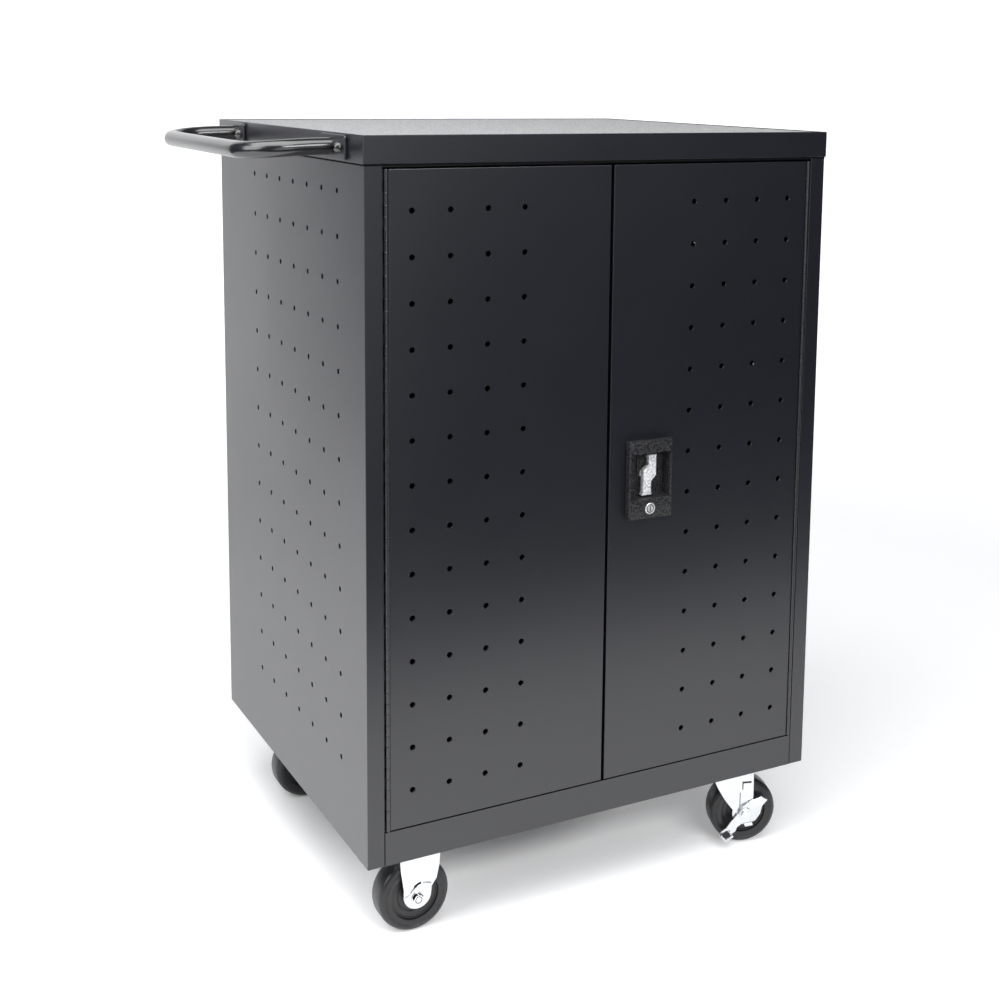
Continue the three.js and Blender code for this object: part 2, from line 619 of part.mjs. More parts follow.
const recessSpanX = (grow) => [LATCH_X - RECESS_WIDTH / 2 - grow, LATCH_X + RECESS_WIDTH / 2 + grow];
const recessSpanZ = (grow) => [LATCH_Z - RECESS_HEIGHT / 2 - grow, LATCH_Z + RECESS_HEIGHT / 2 + grow];

// The right door is also cut for the handle's well, the lock barrel and the two lock rods.
function rightDoorPanel() {
  const throughFace = [-SHEET, DOOR_SHEET + SEAM];
  const well = block(recessSpanX(RECESS_WALL + SEAM), throughFace, recessSpanZ(RECESS_WALL + SEAM));
  const barrel = bar("y", throughFace, LOCK_BARREL_RADIUS + LOCK_PLAY, [LATCH_X, LOCK_Z]);
  const upperGate = rodGate(UPPER_ROD_X, DOOR_TOP - DOOR_SHEET / 2);
  const lowerGate = rodGate(LOWER_ROD_X, DOOR_BOTTOM + DOOR_SHEET / 2);
  return cut(doorPanel("right"), well, barrel, upperGate, lowerGate);
}

piece(cabinet, "left_door_panel", doorPanel("left"), BLACK_COAT);
piece(cabinet, "right_door_panel", rightDoorPanel(), BLACK_COAT);

// One leaf of a continuous hinge: a plate with every other knuckle, bored for the pin
const KNUCKLE_PITCH = (DOOR_TOP - DOOR_BOTTOM) / KNUCKLES;

function hingeLeaf(side, plateInset, startKnuckle) {
  const x = fromSide(side);
  const axis = [x(HINGE_AXIS), 0];
  const plate = [x(plateInset), x(plateInset + LEAF_SHEET)];
  const tabY = [KNUCKLE_RADIUS - LEAF_SHEET, KNUCKLE_RADIUS + KNUCKLE_CLEARANCE];
  const outerEdge = plateInset < HINGE_AXIS ? plate[0] : plate[1];
  const parts = [block(plate, [tabY[1], tabY[1] + LEAF_DEPTH], doorHeight)];
  for (let i = startKnuckle; i < KNUCKLES; i += 2) {
    const bottom = DOOR_BOTTOM + i * KNUCKLE_PITCH;
    const spanZ = [bottom + SEAM / 2, bottom + KNUCKLE_PITCH - SEAM / 2];
    const knuckle = bar("z", spanZ, KNUCKLE_RADIUS, axis, SMALL_SIDES);
    const tab = block([outerEdge, axis[0]], tabY, spanZ);
    parts.push(knuckle, tab, block(plate, [tabY[0], tabY[1] + SEAM], spanZ));
  }
  const boreZ = [DOOR_BOTTOM - SEAM, DOOR_TOP + SEAM];
  const bore = bar("z", boreZ, HINGE_PIN_RADIUS + HINGE_PIN_PLAY, axis, SMALL_SIDES);
  return cut(join(...parts), bore);
}

for (const side of ["left", "right"]) {
  const pin = bar("z", doorHeight, HINGE_PIN_RADIUS, [fromSide(side)(HINGE_AXIS), 0], SMALL_SIDES);
  piece(cabinet, `${side}_hinge_frame_leaf`, hingeLeaf(side, STRIP_WIDTH + SEAM, 0), BLACK_COAT);
  piece(cabinet, `${side}_hinge_door_leaf`, hingeLeaf(side, DOOR_EDGE - SEAM - LEAF_SHEET, 1), BLACK_COAT);
  piece(cabinet, `${side}_hinge_pin`, pin, ZINC);
}

// Magnetic catch under the header, and the strike plate in the left door's top corner
function doorCatch() {
  const right = DOOR_FREE_EDGE - CATCH_INSET;
  const front = DOOR_FOLD + CATCH_GAP;
  const top = HEADER_BOTTOM - SEAM;
  return block([right - CATCH_WIDTH, right], [front, front + CATCH_DEPTH], [top - CATCH_HEIGHT, top]);
}

function doorStrike() {
  const middle = DOOR_FREE_EDGE - CATCH_INSET - CATCH_WIDTH / 2;
  const span = [middle - STRIKE_WIDTH / 2, middle + STRIKE_WIDTH / 2];
  const top = DOOR_TOP - FOLD_SET - DOOR_SHEET - SEAM;
  const tab = block(span, [DOOR_SHEET + SEAM, DOOR_FOLD], [top - DOOR_SHEET, top]);
  const face = block(span, [DOOR_FOLD - DOOR_SHEET, DOOR_FOLD], [top - CATCH_HEIGHT, top]);
  return join(tab, face);
}

piece(cabinet, "left_door_catch", doorCatch(), BLACK_PLASTIC);
piece(cabinet, "left_door_strike", doorStrike(), ZINC);

// Turn handle: housing with a finger recess and a bar below it for the lock
function latchHousing() {
  const bezelX = [LATCH_LEFT, LATCH_LEFT + BEZEL_WIDTH];
  const bezel = block(bezelX, [-BEZEL_PROUD, -SEAM], [LATCH_BOTTOM, LATCH_BOTTOM + BEZEL_HEIGHT]);
  const wellDepth = [-SHEET, RECESS_FLOOR + RECESS_WALL];
  const well = block(recessSpanX(RECESS_WALL), wellDepth, recessSpanZ(RECESS_WALL));
  const recess = block(recessSpanX(0), [-BEZEL_PROUD - SEAM, RECESS_FLOOR], recessSpanZ(0));
  const through = [-BEZEL_PROUD - SEAM, RECESS_FLOOR + RECESS_WALL + SEAM];
  const spindleHole = bar("y", through, SPINDLE_RADIUS + SPINDLE_PLAY, [LATCH_X, LATCH_Z]);
  const headDepth = [through[0], LOCK_HEAD - BEZEL_PROUD];
  const headPocket = bar("y", headDepth, LOCK_RADIUS + LOCK_PLAY, [LATCH_X, LOCK_Z]);
  const barrelHole = bar("y", through, LOCK_BARREL_RADIUS + LOCK_PLAY, [LATCH_X, LOCK_Z]);
  return cut(join(bezel, well), recess, spindleHole, headPocket, barrelHole);
}

// Lever with its upper half stepped to the right and a flared foot, on a hub over the recess floor
function latchLever() {
  const back = RECESS_FLOOR - LEVER_STANDOFF;
  const half = LEVER_LENGTH / 2;
  const right = LEVER_LEAN + LEVER_WIDTH / 2;
  const left = LEVER_LEAN - LEVER_WIDTH / 2;
  const up = LEVER_STEP / 2;
  const points = [
    [right + up, half],
    [left + up, half],
    [left + up, LEVER_WIDTH],
    [left - up, LEVER_WIDTH - LEVER_STEP],
    [left - up, LEVER_FOOT - half],
    [left - up - LEVER_FOOT, -half],
    [right - up, -half],
    [right - up, -LEVER_WIDTH],
    [right + up, LEVER_STEP - LEVER_WIDTH],
  ];
  const outline = new THREE.Shape(points.map(([x, z]) => new THREE.Vector2(LATCH_X + x, LATCH_Z + z)));
  const grip = plateXZ(outline, [back - LEVER_THICKNESS, back]);
  const hub = bar("y", [back - LEVER_THICKNESS / 2, RECESS_FLOOR - SEAM], HUB_RADIUS, [LATCH_X, LATCH_Z]);
  return join(grip, hub);
}

// Spindle and cam behind the housing, with a pin for each rod
function latchCam() {
  const disc = [CAM_FRONT, CAM_FRONT + CAM_SHEET];
  const reach = CAM_PIN_ORBIT + CAM_PIN_RADIUS + SHEET;
  const pins = [1, -1].map((way) => {
    const at = [LATCH_X + way * PIN_SHIFT, LATCH_Z - way * PIN_DROP];
    return bar("y", [disc[0], ROD_BACK], CAM_PIN_RADIUS, at, SMALL_SIDES);
  });
  const spindle = bar("y", [RECESS_FLOOR, disc[1]], SPINDLE_RADIUS, [LATCH_X, LATCH_Z]);
  return join(bar("y", disc, reach, [LATCH_X, LATCH_Z]), spindle, ...pins);
}

// A flat lock rod, with a cross slot for its cam pin at the inner end
function lockRod(x, pinZ, endZ) {
  const way = Math.sign(endZ - pinZ);
  const inner = pinZ - way * (CAM_PIN_RADIUS + CAM_PIN_PLAY + ROD_SHEET);
  const spanX = [x - ROD_WIDTH / 2, x + ROD_WIDTH / 2];
  const flat = block(spanX, [ROD_FRONT, ROD_BACK], [inner, endZ]);
  const slotZ = [pinZ - CAM_PIN_RADIUS - CAM_PIN_PLAY, pinZ + CAM_PIN_RADIUS + CAM_PIN_PLAY];
  const side = Math.sign(x - LATCH_X);
  const room = CAM_PIN_RADIUS + CAM_PIN_PLAY;
  const slotX = [PIN_SHIFT - room, CAM_PIN_ORBIT + room].map((distance) => LATCH_X + side * distance);
  return cut(flat, block(slotX, [ROD_FRONT - SEAM, ROD_BACK + SEAM], slotZ));
}

// A bridge on the back of the door that keeps a rod in line, with a foot on each side
function rodGuide(x, z) {
  const seat = DOOR_SHEET + SEAM;
  const sole = seat + GUIDE_SHEET;
  const roof = ROD_BACK + ROD_PLAY;
  const inner = ROD_WIDTH / 2 + ROD_PLAY;
  const outer = inner + GUIDE_SHEET;
  const half = [
    [inner, roof],
    [inner, seat],
    [outer + GUIDE_FOOT, seat],
    [outer + GUIDE_FOOT, sole],
    [outer, sole],
    [outer, roof + GUIDE_SHEET],
  ];
  const other = half.map(([across, y]) => [-across, y]).reverse();
  const corners = [...half, ...other].map(([across, y]) => new THREE.Vector2(x + across, y));
  return plateXY(new THREE.Shape(corners), [z - GUIDE_HEIGHT / 2, z + GUIDE_HEIGHT / 2]);
}

// Lock cylinder: a round face with a keyway, a barrel and a small cam behind the door
function lockCylinder() {
  const face = -BEZEL_PROUD - LOCK_PROUD;
  const back = ROD_FRONT - SEAM;
  const head = bar("y", [face, LOCK_HEAD - BEZEL_PROUD - SEAM], LOCK_RADIUS, [LATCH_X, LOCK_Z]);
  const barrel = bar("y", [face, back], LOCK_BARREL_RADIUS, [LATCH_X, LOCK_Z]);
  const camX = [LATCH_X - LOCK_BARREL_RADIUS / 2, LATCH_X + LOCK_BARREL_RADIUS / 2];
  const cam = block(camX, [back - CAM_SHEET, back], [LOCK_Z - LOCK_CAM_LENGTH, LOCK_Z]);
  const keywayX = [LATCH_X - KEYWAY_WIDTH / 2, LATCH_X + KEYWAY_WIDTH / 2];
  const keywayZ = [LOCK_Z - KEYWAY_LENGTH / 2, LOCK_Z + KEYWAY_LENGTH / 2];
  const keyway = block(keywayX, [face - SEAM, face + KEYWAY_DEPTH], keywayZ);
  return cut(join(head, barrel, cam), keyway);
}

const upperPinZ = LATCH_Z - PIN_DROP;
const lowerPinZ = LATCH_Z + PIN_DROP;
piece(cabinet, "latch_housing", latchHousing(), BLACK_CRINKLE);
piece(cabinet, "latch_lever", latchLever(), HAMMERED);
piece(cabinet, "latch_cam", latchCam(), ZINC);
piece(cabinet, "lock_cylinder", lockCylinder(), CHROME);
piece(cabinet, "upper_lock_rod", lockRod(UPPER_ROD_X, upperPinZ, DOOR_TOP - ROD_SHORT), ZINC);
piece(cabinet, "lower_lock_rod", lockRod(LOWER_ROD_X, lowerPinZ, DOOR_BOTTOM + ROD_SHORT), ZINC);
piece(cabinet, "upper_rod_guide", rodGuide(UPPER_ROD_X, LATCH_Z + GUIDE_DISTANCE), ZINC);
piece(cabinet, "lower_rod_guide", rodGuide(LOWER_ROD_X, LATCH_Z - GUIDE_DISTANCE), ZINC);

// Push handle: a bent tube between two plates that are bolted to the lid's left end
class HandlePath extends THREE.Curve {
  getPoint(t) {
    const start = PLATE_FACE - SEAM;
    const arm = HANDLE_REACH - HANDLE_BEND + start;
    const bend = (Math.PI / 2) * HANDLE_BEND;
    const grip = HANDLE_SPAN - 2 * HANDLE_BEND;
    const total = 2 * (arm + bend) + grip;
    const along = t <= 0.5 ? t * total : (1 - t) * total;
    const mirror = (y) => (t <= 0.5 ? HANDLE_ARMS[0] + y : HANDLE_ARMS[1] - y);
    // The arms leave the plates level and the grip hangs a little lower.
    const drop = (x) => HANDLE_Z - HANDLE_DROP * ((start - x) / (HANDLE_REACH + start)) ** 2;
    if (along <= arm) return new THREE.Vector3(start - along, mirror(0), drop(start - along));
    const angle = Math.min((along - arm) / HANDLE_BEND, Math.PI / 2);
    const x = start - arm - HANDLE_BEND * Math.sin(angle);
    const straight = Math.max(0, along - arm - bend);
    return new THREE.Vector3(x, mirror(HANDLE_BEND * (1 - Math.cos(angle)) + straight), drop(x));
  }
}

function handleTube() {
  const ring = new THREE.Shape();
  for (let i = 0; i < TUBE_SIDES; i += 1) {
    const angle = (2 * Math.PI * i) / TUBE_SIDES;
    const corner = [TUBE_RADIUS * Math.cos(angle), TUBE_RADIUS * Math.sin(angle)];
    if (i === 0) ring.moveTo(...corner);
    else ring.lineTo(...corner);
  }
  const settings = { steps: HANDLE_STEPS, extrudePath: new HandlePath(), bevelEnabled: false };
  return solid(new THREE.ExtrudeGeometry(ring, settings));
}

piece(cabinet, "handle_tube", handleTube(), BLACK_TUBE);
["front", "rear"].forEach((end, i) => {
  const spanY = [HANDLE_ARMS[i] - PLATE_LENGTH / 2, HANDLE_ARMS[i] + PLATE_LENGTH / 2];
  const spanZ = [HANDLE_Z - PLATE_HEIGHT / 2, HANDLE_Z + PLATE_HEIGHT / 2];
  const plate = block([PLATE_FACE, PLATE_BACK], spanY, spanZ);
  piece(cabinet, `${end}_handle_plate`, cut(plate, ...handleBoltHoles()), BLACK_COAT);
});
HANDLE_BOLTS.forEach((y, i) => {
  const under = PLATE_FACE - SEAM;
  const shank = bar("x", [under, BOLT_REACH], BOLT_RADIUS, [y, HANDLE_Z], SMALL_SIDES);
  const head = bar("x", [under - BOLT_HEAD_HEIGHT, under], BOLT_HEAD_RADIUS, [y, HANDLE_Z], ROUND_SIDES);
  piece(cabinet, `handle_bolt_${i + 1}`, join(shank, head), ZINC);
});

// Casters, each in its own group with the axle at the group's origin and along Y
function casterWheel() {
  const flat = Math.cos(Math.PI / WHEEL_SIDES);
  const half = WHEEL_WIDTH / 2;
  const hub = LEG_INNER - SEAM;
  const web = WEB_WIDTH / 2;
  const seat = WHEEL_RADIUS - TYRE_DEPTH;
  const side = [
    [AXLE_RADIUS + AXLE_PLAY, hub],
    [WHEEL_HUB_RADIUS, hub],
    [WHEEL_HUB_RADIUS, web],
    [seat, web],
    [seat, half],
    [WHEEL_RADIUS - WHEEL_SHOULDER, half],
    [WHEEL_RADIUS, half - WHEEL_SHOULDER],
  ];
  const other = side.map(([r, y]) => [r, -y]).reverse();
  const ring = [...side, ...other, side[0]].reverse().map(([r, y]) => new THREE.Vector2(r / flat, y));
  return solid(new THREE.LatheGeometry(ring, WHEEL_SIDES, Math.PI / WHEEL_SIDES));
}

function axleHole() {
  return bar("y", [-LEG_OUTER - SHEET, LEG_OUTER + SHEET], AXLE_RADIUS + SEAM, [0, 0]);
}

function forkLegs(outline) {
  return join(plateXZ(outline, [LEG_INNER, LEG_OUTER]), plateXZ(outline, [-LEG_OUTER, -LEG_INNER]));
}

// A leg that narrows from its top edge to a round end about the axle.
function legOutline(topLeft, topRight, top) {
  const outline = new THREE.Shape();
  outline.moveTo(topRight, top);
  outline.lineTo(topLeft, top);
  outline.lineTo(-FORK_END_RADIUS, 0);
  outline.absarc(0, 0, FORK_END_RADIUS, Math.PI, 2 * Math.PI);
  return outline;
}

function casterPlate(centreX) {
  const spanX = [centreX - CASTER_PLATE_LENGTH / 2, centreX + CASTER_PLATE_LENGTH / 2];
  const spanY = [-CASTER_PLATE_WIDTH / 2, CASTER_PLATE_WIDTH / 2];
  return block(spanX, spanY, [CASTER_TOP - CASTER_PLATE_SHEET, CASTER_TOP]);
}

function rigidFork() {
  const top = CASTER_TOP - CASTER_PLATE_SHEET / 2;
  const half = RIGID_TOP_WIDTH / 2;
  const legs = forkLegs(legOutline(RIGID_SKEW - half, RIGID_SKEW + half, top));
  return cut(join(casterPlate(RIGID_SKEW), legs), axleHole());
}

function axle(frontReach) {
  const front = -frontReach - SEAM;
  const back = LEG_OUTER + SEAM;
  const shank = bar("y", [front, back], AXLE_RADIUS, [0, 0]);
  const head = bar("y", [front - AXLE_HEAD_HEIGHT, front], AXLE_HEAD_RADIUS, [0, 0], VENT_SIDES);
  const nut = bar("y", [back, back + AXLE_HEAD_HEIGHT], AXLE_HEAD_RADIUS, [0, 0], VENT_SIDES);
  return join(shank, head, nut);
}

const CROWN_TOP = CASTER_TOP - CASTER_PLATE_SHEET - RACE_HEIGHT - RACE_GAP;
const CROWN_BOTTOM = CROWN_TOP - FORK_SHEET;

// Mounting plate with the ball race and the kingpin that carries the fork
function swivelPlate() {
  const race = [CROWN_TOP + RACE_GAP, CASTER_TOP - CASTER_PLATE_SHEET / 2];
  const head = [CROWN_BOTTOM - SEAM - KINGPIN_HEAD_HEIGHT, CROWN_BOTTOM - SEAM];
  return join(
    casterPlate(-TRAIL),
    bar("z", race, RACE_RADIUS, [-TRAIL, 0]),
    bar("z", [head[0], race[1]], KINGPIN_RADIUS, [-TRAIL, 0]),
    bar("z", head, KINGPIN_HEAD_RADIUS, [-TRAIL, 0]),
  );
}

function swivelFork() {
  const crownX = [-TRAIL - CROWN_LENGTH / 2, -TRAIL + CROWN_LENGTH / 2];
  const crown = block(crownX, [-LEG_OUTER, LEG_OUTER], [CROWN_BOTTOM, CROWN_TOP]);
  const legs = forkLegs(legOutline(crownX[0], crownX[1], CROWN_TOP));
  const through = [CROWN_BOTTOM - SEAM, CROWN_TOP + SEAM];
  const kingHole = bar("z", through, KINGPIN_RADIUS + KINGPIN_PLAY, [-TRAIL, 0]);
  return cut(join(crown, legs), kingHole, axleHole());
}

const BRAKE_BACK = -LEG_OUTER - BRAKE_GAP;
const BRAKE_FRONT = BRAKE_BACK - BRAKE_SHEET;

// A straight bar out from the axle at an angle, for the brake lever's arm and tab.
function brakeBar(length, degrees, [y0, y1], start) {
  const geometry = new THREE.BoxGeometry(length - start, y1 - y0, BRAKE_BAR_WIDTH);
  geometry.translate((length + start) / 2, (y0 + y1) / 2, 0);
  return solid(geometry.rotateY(-THREE.MathUtils.degToRad(degrees)));
}

// Side brake: a hub on the axle, an arm with a folded pedal and a release tab on the far side
function brakeLever() {
  const sheet = [BRAKE_FRONT, BRAKE_BACK];
  const pedalSpan = [BRAKE_FRONT - BRAKE_PEDAL, BRAKE_BACK];
  const pedal = brakeBar(BRAKE_ARM, BRAKE_ARM_ANGLE, pedalSpan, BRAKE_ARM - BRAKE_SHEET);
  const lever = join(
    bar("y", sheet, BRAKE_HUB_RADIUS, [0, 0]),
    brakeBar(BRAKE_ARM, BRAKE_ARM_ANGLE, sheet, 0),
    brakeBar(BRAKE_TAB, BRAKE_TAB_ANGLE, sheet, 0),
    pedal,
  );
  return cut(lever, bar("y", [BRAKE_FRONT - SEAM, BRAKE_BACK + SEAM], AXLE_RADIUS + AXLE_PLAY, [0, 0]));
}

const CASTER_ROWS = [
  ["front", FRONT_CASTER_SETBACK, FRONT_SWIVEL_TURN],
  ["rear", BODY_DEPTH - REAR_CASTER_SETBACK, REAR_SWIVEL_TURN],
];
for (const [row, y, turn] of CASTER_ROWS) {
  const rigid = new THREE.Group();
  rigid.position.set(RIGID_INSET, y, AXLE_Z);
  piece(rigid, `${row}_left_fork`, rigidFork(), ZINC);
  piece(rigid, `${row}_left_axle`, axle(LEG_OUTER), ZINC);
  piece(rigid, `${row}_left_wheel`, casterWheel(), RUBBER);
  const swivel = new THREE.Group();
  swivel.position.set(BODY_WIDTH - SWIVEL_INSET + TRAIL, y, AXLE_Z);
  piece(swivel, `${row}_right_swivel_plate`, swivelPlate(), ZINC);
  // What turns under the plate rests at its own angle about the kingpin.
  const kingpin = new THREE.Group();
  kingpin.position.setX(-TRAIL);
  kingpin.rotation.z = THREE.MathUtils.degToRad(-turn);
  const carried = new THREE.Group();
  carried.position.setX(TRAIL);
  piece(carried, `${row}_right_fork`, swivelFork(), ZINC);
  piece(carried, `${row}_right_axle`, axle(-BRAKE_FRONT), ZINC);
  piece(carried, `${row}_right_wheel`, casterWheel(), RUBBER);
  piece(carried, `${row}_right_brake_lever`, brakeLever(), ZINC);
  kingpin.add(carried);
  swivel.add(kingpin);
  cabinet.add(rigid, swivel);
}

// The cart stands on the floor with the middle of its outline over the origin.
const outline = new THREE.Box3().setFromObject(cabinet);
const middle = outline.getCenter(new THREE.Vector3());
cabinet.position.set(-middle.x, -middle.y, CASTER_DROP);
const cart = new THREE.Group();
cart.add(cabinet);

export default cart;
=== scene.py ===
"""Finishes and fine shapes of a laptop charging cart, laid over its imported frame.

Sizes are in millimetres from the front left corner of the cabinet's lower edge, with X to the
right along the front, Y to the back and Z up. The corner's own place comes from the frame.
"""

import logging
import math
from dataclasses import dataclass
from enum import Enum
from typing import Iterable, Sequence

import bmesh
import bpy
from mathutils import Matrix, Vector


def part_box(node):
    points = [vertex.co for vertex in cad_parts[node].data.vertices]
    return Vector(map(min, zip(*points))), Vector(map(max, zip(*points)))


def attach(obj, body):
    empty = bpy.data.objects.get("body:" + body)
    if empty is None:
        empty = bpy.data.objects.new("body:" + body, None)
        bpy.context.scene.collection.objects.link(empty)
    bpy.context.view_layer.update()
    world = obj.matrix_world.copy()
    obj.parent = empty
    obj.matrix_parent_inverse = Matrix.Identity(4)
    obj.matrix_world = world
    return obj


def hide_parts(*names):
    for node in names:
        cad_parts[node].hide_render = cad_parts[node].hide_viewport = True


LOG = logging.getLogger("cart")
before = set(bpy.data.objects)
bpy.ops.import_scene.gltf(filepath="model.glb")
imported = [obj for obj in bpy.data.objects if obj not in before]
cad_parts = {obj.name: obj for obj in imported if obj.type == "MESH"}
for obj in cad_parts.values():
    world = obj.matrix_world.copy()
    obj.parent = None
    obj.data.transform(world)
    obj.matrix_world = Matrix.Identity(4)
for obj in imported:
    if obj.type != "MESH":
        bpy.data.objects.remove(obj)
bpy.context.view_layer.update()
CORNER = Vector(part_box("left_side_panel")[0])
Point = tuple[float, float]
Point3 = tuple[float, float, float]
METRE = 1000.0
GRAIN_HEIGHT = 0.0004
PEBBLE_HEIGHT = 0.001
VENT_REACH = 0.005


class Slot(Enum):
    """The record's material slots."""

    COAT = "black_coat"
    TUBE = "black_tube"
    CRINKLE = "black_crinkle"
    HAMMERED = "hammered_silver"
    MAT = "grey_mat"
    ZINC = "zinc_plate"
    CHROME = "lock_chrome"
    RUBBER = "black_rubber"
    PLASTIC = "black_plastic"


class Side(Enum):
    """The two ends of the cabinet."""

    LEFT = "left"
    RIGHT = "right"


class Axis(Enum):
    """The three axes."""

    X = "X"
    Y = "Y"
    Z = "Z"


def on_axis(axis: Axis, along: float, u: float, v: float) -> Point3:
    """A point from its place along one axis and on the two others, in X, Y, Z order."""
    return {Axis.X: (along, u, v), Axis.Y: (u, along, v), Axis.Z: (u, v, along)}[axis]


def at(x: float, y: float, z: float) -> Vector:
    """A place in the cabinet, in millimetres, as a point of the row frame in metres."""
    return CORNER + Vector((x, y, z)) / METRE


def across(side: Side, inset: float, width: float) -> float:
    """A distance in from one end of the cabinet as a place along X."""
    return inset if side is Side.LEFT else width - inset


def between(side: Side, near: float, far: float, width: float) -> Point:
    """The span along X between two distances in from one end of the cabinet."""
    ends = across(side, near, width), across(side, far, width)
    return min(ends), max(ends)


class NodeTree:
    """A node tree under construction, with short calls for nodes and links."""

    def __init__(self, tree: bpy.types.NodeTree) -> None:
        """Starts on an existing tree and clears it."""
        self.tree = tree
        tree.nodes.clear()

    def node(self, kind: str, **settings: object) -> bpy.types.Node:
        """Adds a node.

        Args:
            kind: the node's type name.
            settings: properties of the node.

        Returns:
            The new node.
        """
        made = self.tree.nodes.new(kind)
        for name, value in settings.items():
            setattr(made, name, value)
        return made

    def feed(self, node: bpy.types.Node, **inputs: object) -> bpy.types.Node:
        """Sets or links inputs by name, with underscores for spaces.

        Args:
            node: the node to feed.
            inputs: values, or sockets to link.

        Returns:
            The same node.
        """
        for name, value in inputs.items():
            self.give(node.inputs[name.replace("_", " ")], value)
        return node

    def give(self, socket: bpy.types.NodeSocket, value: object) -> None:
        """Sets a socket's value, or links another socket to it.

        Args:
            socket: the socket to set.
            value: a value, or the socket to link.
        """
        if isinstance(value, bpy.types.NodeSocket):
            self.tree.links.new(value, socket)
        else:
            socket.default_value = value

    def math(
        self, operation: str, one: object, other: object, kind: str = "ShaderNodeMath"
    ) -> bpy.types.NodeSocket:
        """Adds a sum of two values or vectors.

        Args:
            operation: the node's operation.
            one: the first value, or a socket to link.
            other: the second value, or a socket to link.
            kind: the node's type name.

        Returns:
            The result's socket.
        """
        node = self.node(kind, operation=operation)
        self.give(node.inputs[0], one)
        self.give(node.inputs[1], other)
        return node.outputs[0]

    def mix(self, factor: object, one: object, other: object, blend: str = "MIX") -> bpy.types.NodeSocket:
        """Adds a mix of two colours.

        Args:
            factor: how much of the second colour, or a socket to link.
            one: the first colour, or a socket to link.
            other: the second colour, or a socket to link.
            blend: the way they mix.

        Returns:
            The mixed colour's socket.
        """
        node = self.node("ShaderNodeMix", data_type="RGBA", blend_type=blend)
        for spot, value in zip((0, 6, 7), (factor, one, other)):
            self.give(node.inputs[spot], value)
        return node.outputs[2]

    def moved(self, shape: bpy.types.NodeSocket, **how: object) -> bpy.types.NodeSocket:
        """Adds a move, turn or scaling of a mesh and gives its socket."""
        return self.feed(self.node("GeometryNodeTransform"), Geometry=shape, **how).outputs["Geometry"]

    def copies(self, points: bpy.types.NodeSocket, shape: bpy.types.NodeSocket) -> bpy.types.NodeSocket:
        """Adds copies of a mesh on points and gives their socket."""
        node = self.node("GeometryNodeInstanceOnPoints")
        return self.feed(node, Points=points, Instance=shape).outputs["Instances"]

    def cut(self, shape: bpy.types.NodeSocket, tool: bpy.types.NodeSocket) -> bpy.types.NodeSocket:
        """Adds a cut of one mesh out of another and gives the socket of what is left."""
        node = self.node("GeometryNodeMeshBoolean", operation="DIFFERENCE")
        return self.feed(node, Mesh_1=shape, Mesh_2=tool).outputs["Mesh"]

    def join(self, *parts: bpy.types.NodeSocket) -> bpy.types.NodeSocket:
        """Adds a join of meshes.

        Args:
            parts: the meshes' sockets.

        Returns:
            The joined mesh's socket.
        """
        node = self.node("GeometryNodeJoinGeometry")
        for part in parts:
            self.give(node.inputs["Geometry"], part)
        return node.outputs["Geometry"]


def shader_group(name: str, inputs: dict[str, tuple[str, object]], outputs: dict[str, str]) -> NodeTree:
    """Starts a shader node group with named sockets.

    Args:
        name: the group's name.
        inputs: socket name to its type and default value.
        outputs: socket name to its type.

    Returns:
        The group's tree, with its input and output nodes named "in" and "out".
    """
    group = bpy.data.node_groups.new(name, "ShaderNodeTree")
    for label, (kind, value) in inputs.items():
        socket = group.interface.new_socket(label, in_out="INPUT", socket_type=kind)
        socket.default_value = value
    for label, kind in outputs.items():
        group.interface.new_socket(label, in_out="OUTPUT", socket_type=kind)
    made = NodeTree(group)
    made.node("NodeGroupInput").name = "in"
    made.node("NodeGroupOutput").name = "out"
    return made


def build_grain_group() -> bpy.types.NodeTree:
    """A fine grain over the surface: height for bump and a slow tone for colour and roughness.

    Returns:
        The node group.
    """
    made = shader_group(
        "surface_grain",
        {
            "Grain Scale": ("NodeSocketFloat", 900.0),
            "Tone Scale": ("NodeSocketFloat", 6.0),
            "Tone Low": ("NodeSocketFloat", 0.9),
            "Tone High": ("NodeSocketFloat", 1.1),
        },
        {"Height": "NodeSocketFloat", "Tone": "NodeSocketFloat"},
    )
    source = made.tree.nodes["in"].outputs
    place = made.node("ShaderNodeTexCoord").outputs["Object"]
    fine = made.feed(made.node("ShaderNodeTexNoise"), Vector=place, Scale=source["Grain Scale"], Detail=2.0)
    slow = made.feed(made.node("ShaderNodeTexNoise"), Vector=place, Scale=source["Tone Scale"], Detail=3.0)
    spread = made.feed(
        made.node("ShaderNodeMapRange"),
        Value=slow.outputs["Fac"],
        To_Min=source["Tone Low"],
        To_Max=source["Tone High"],
    )
    out = made.tree.nodes["out"]
    made.feed(out, Height=fine.outputs["Fac"], Tone=spread.outputs["Result"])
    return made.tree


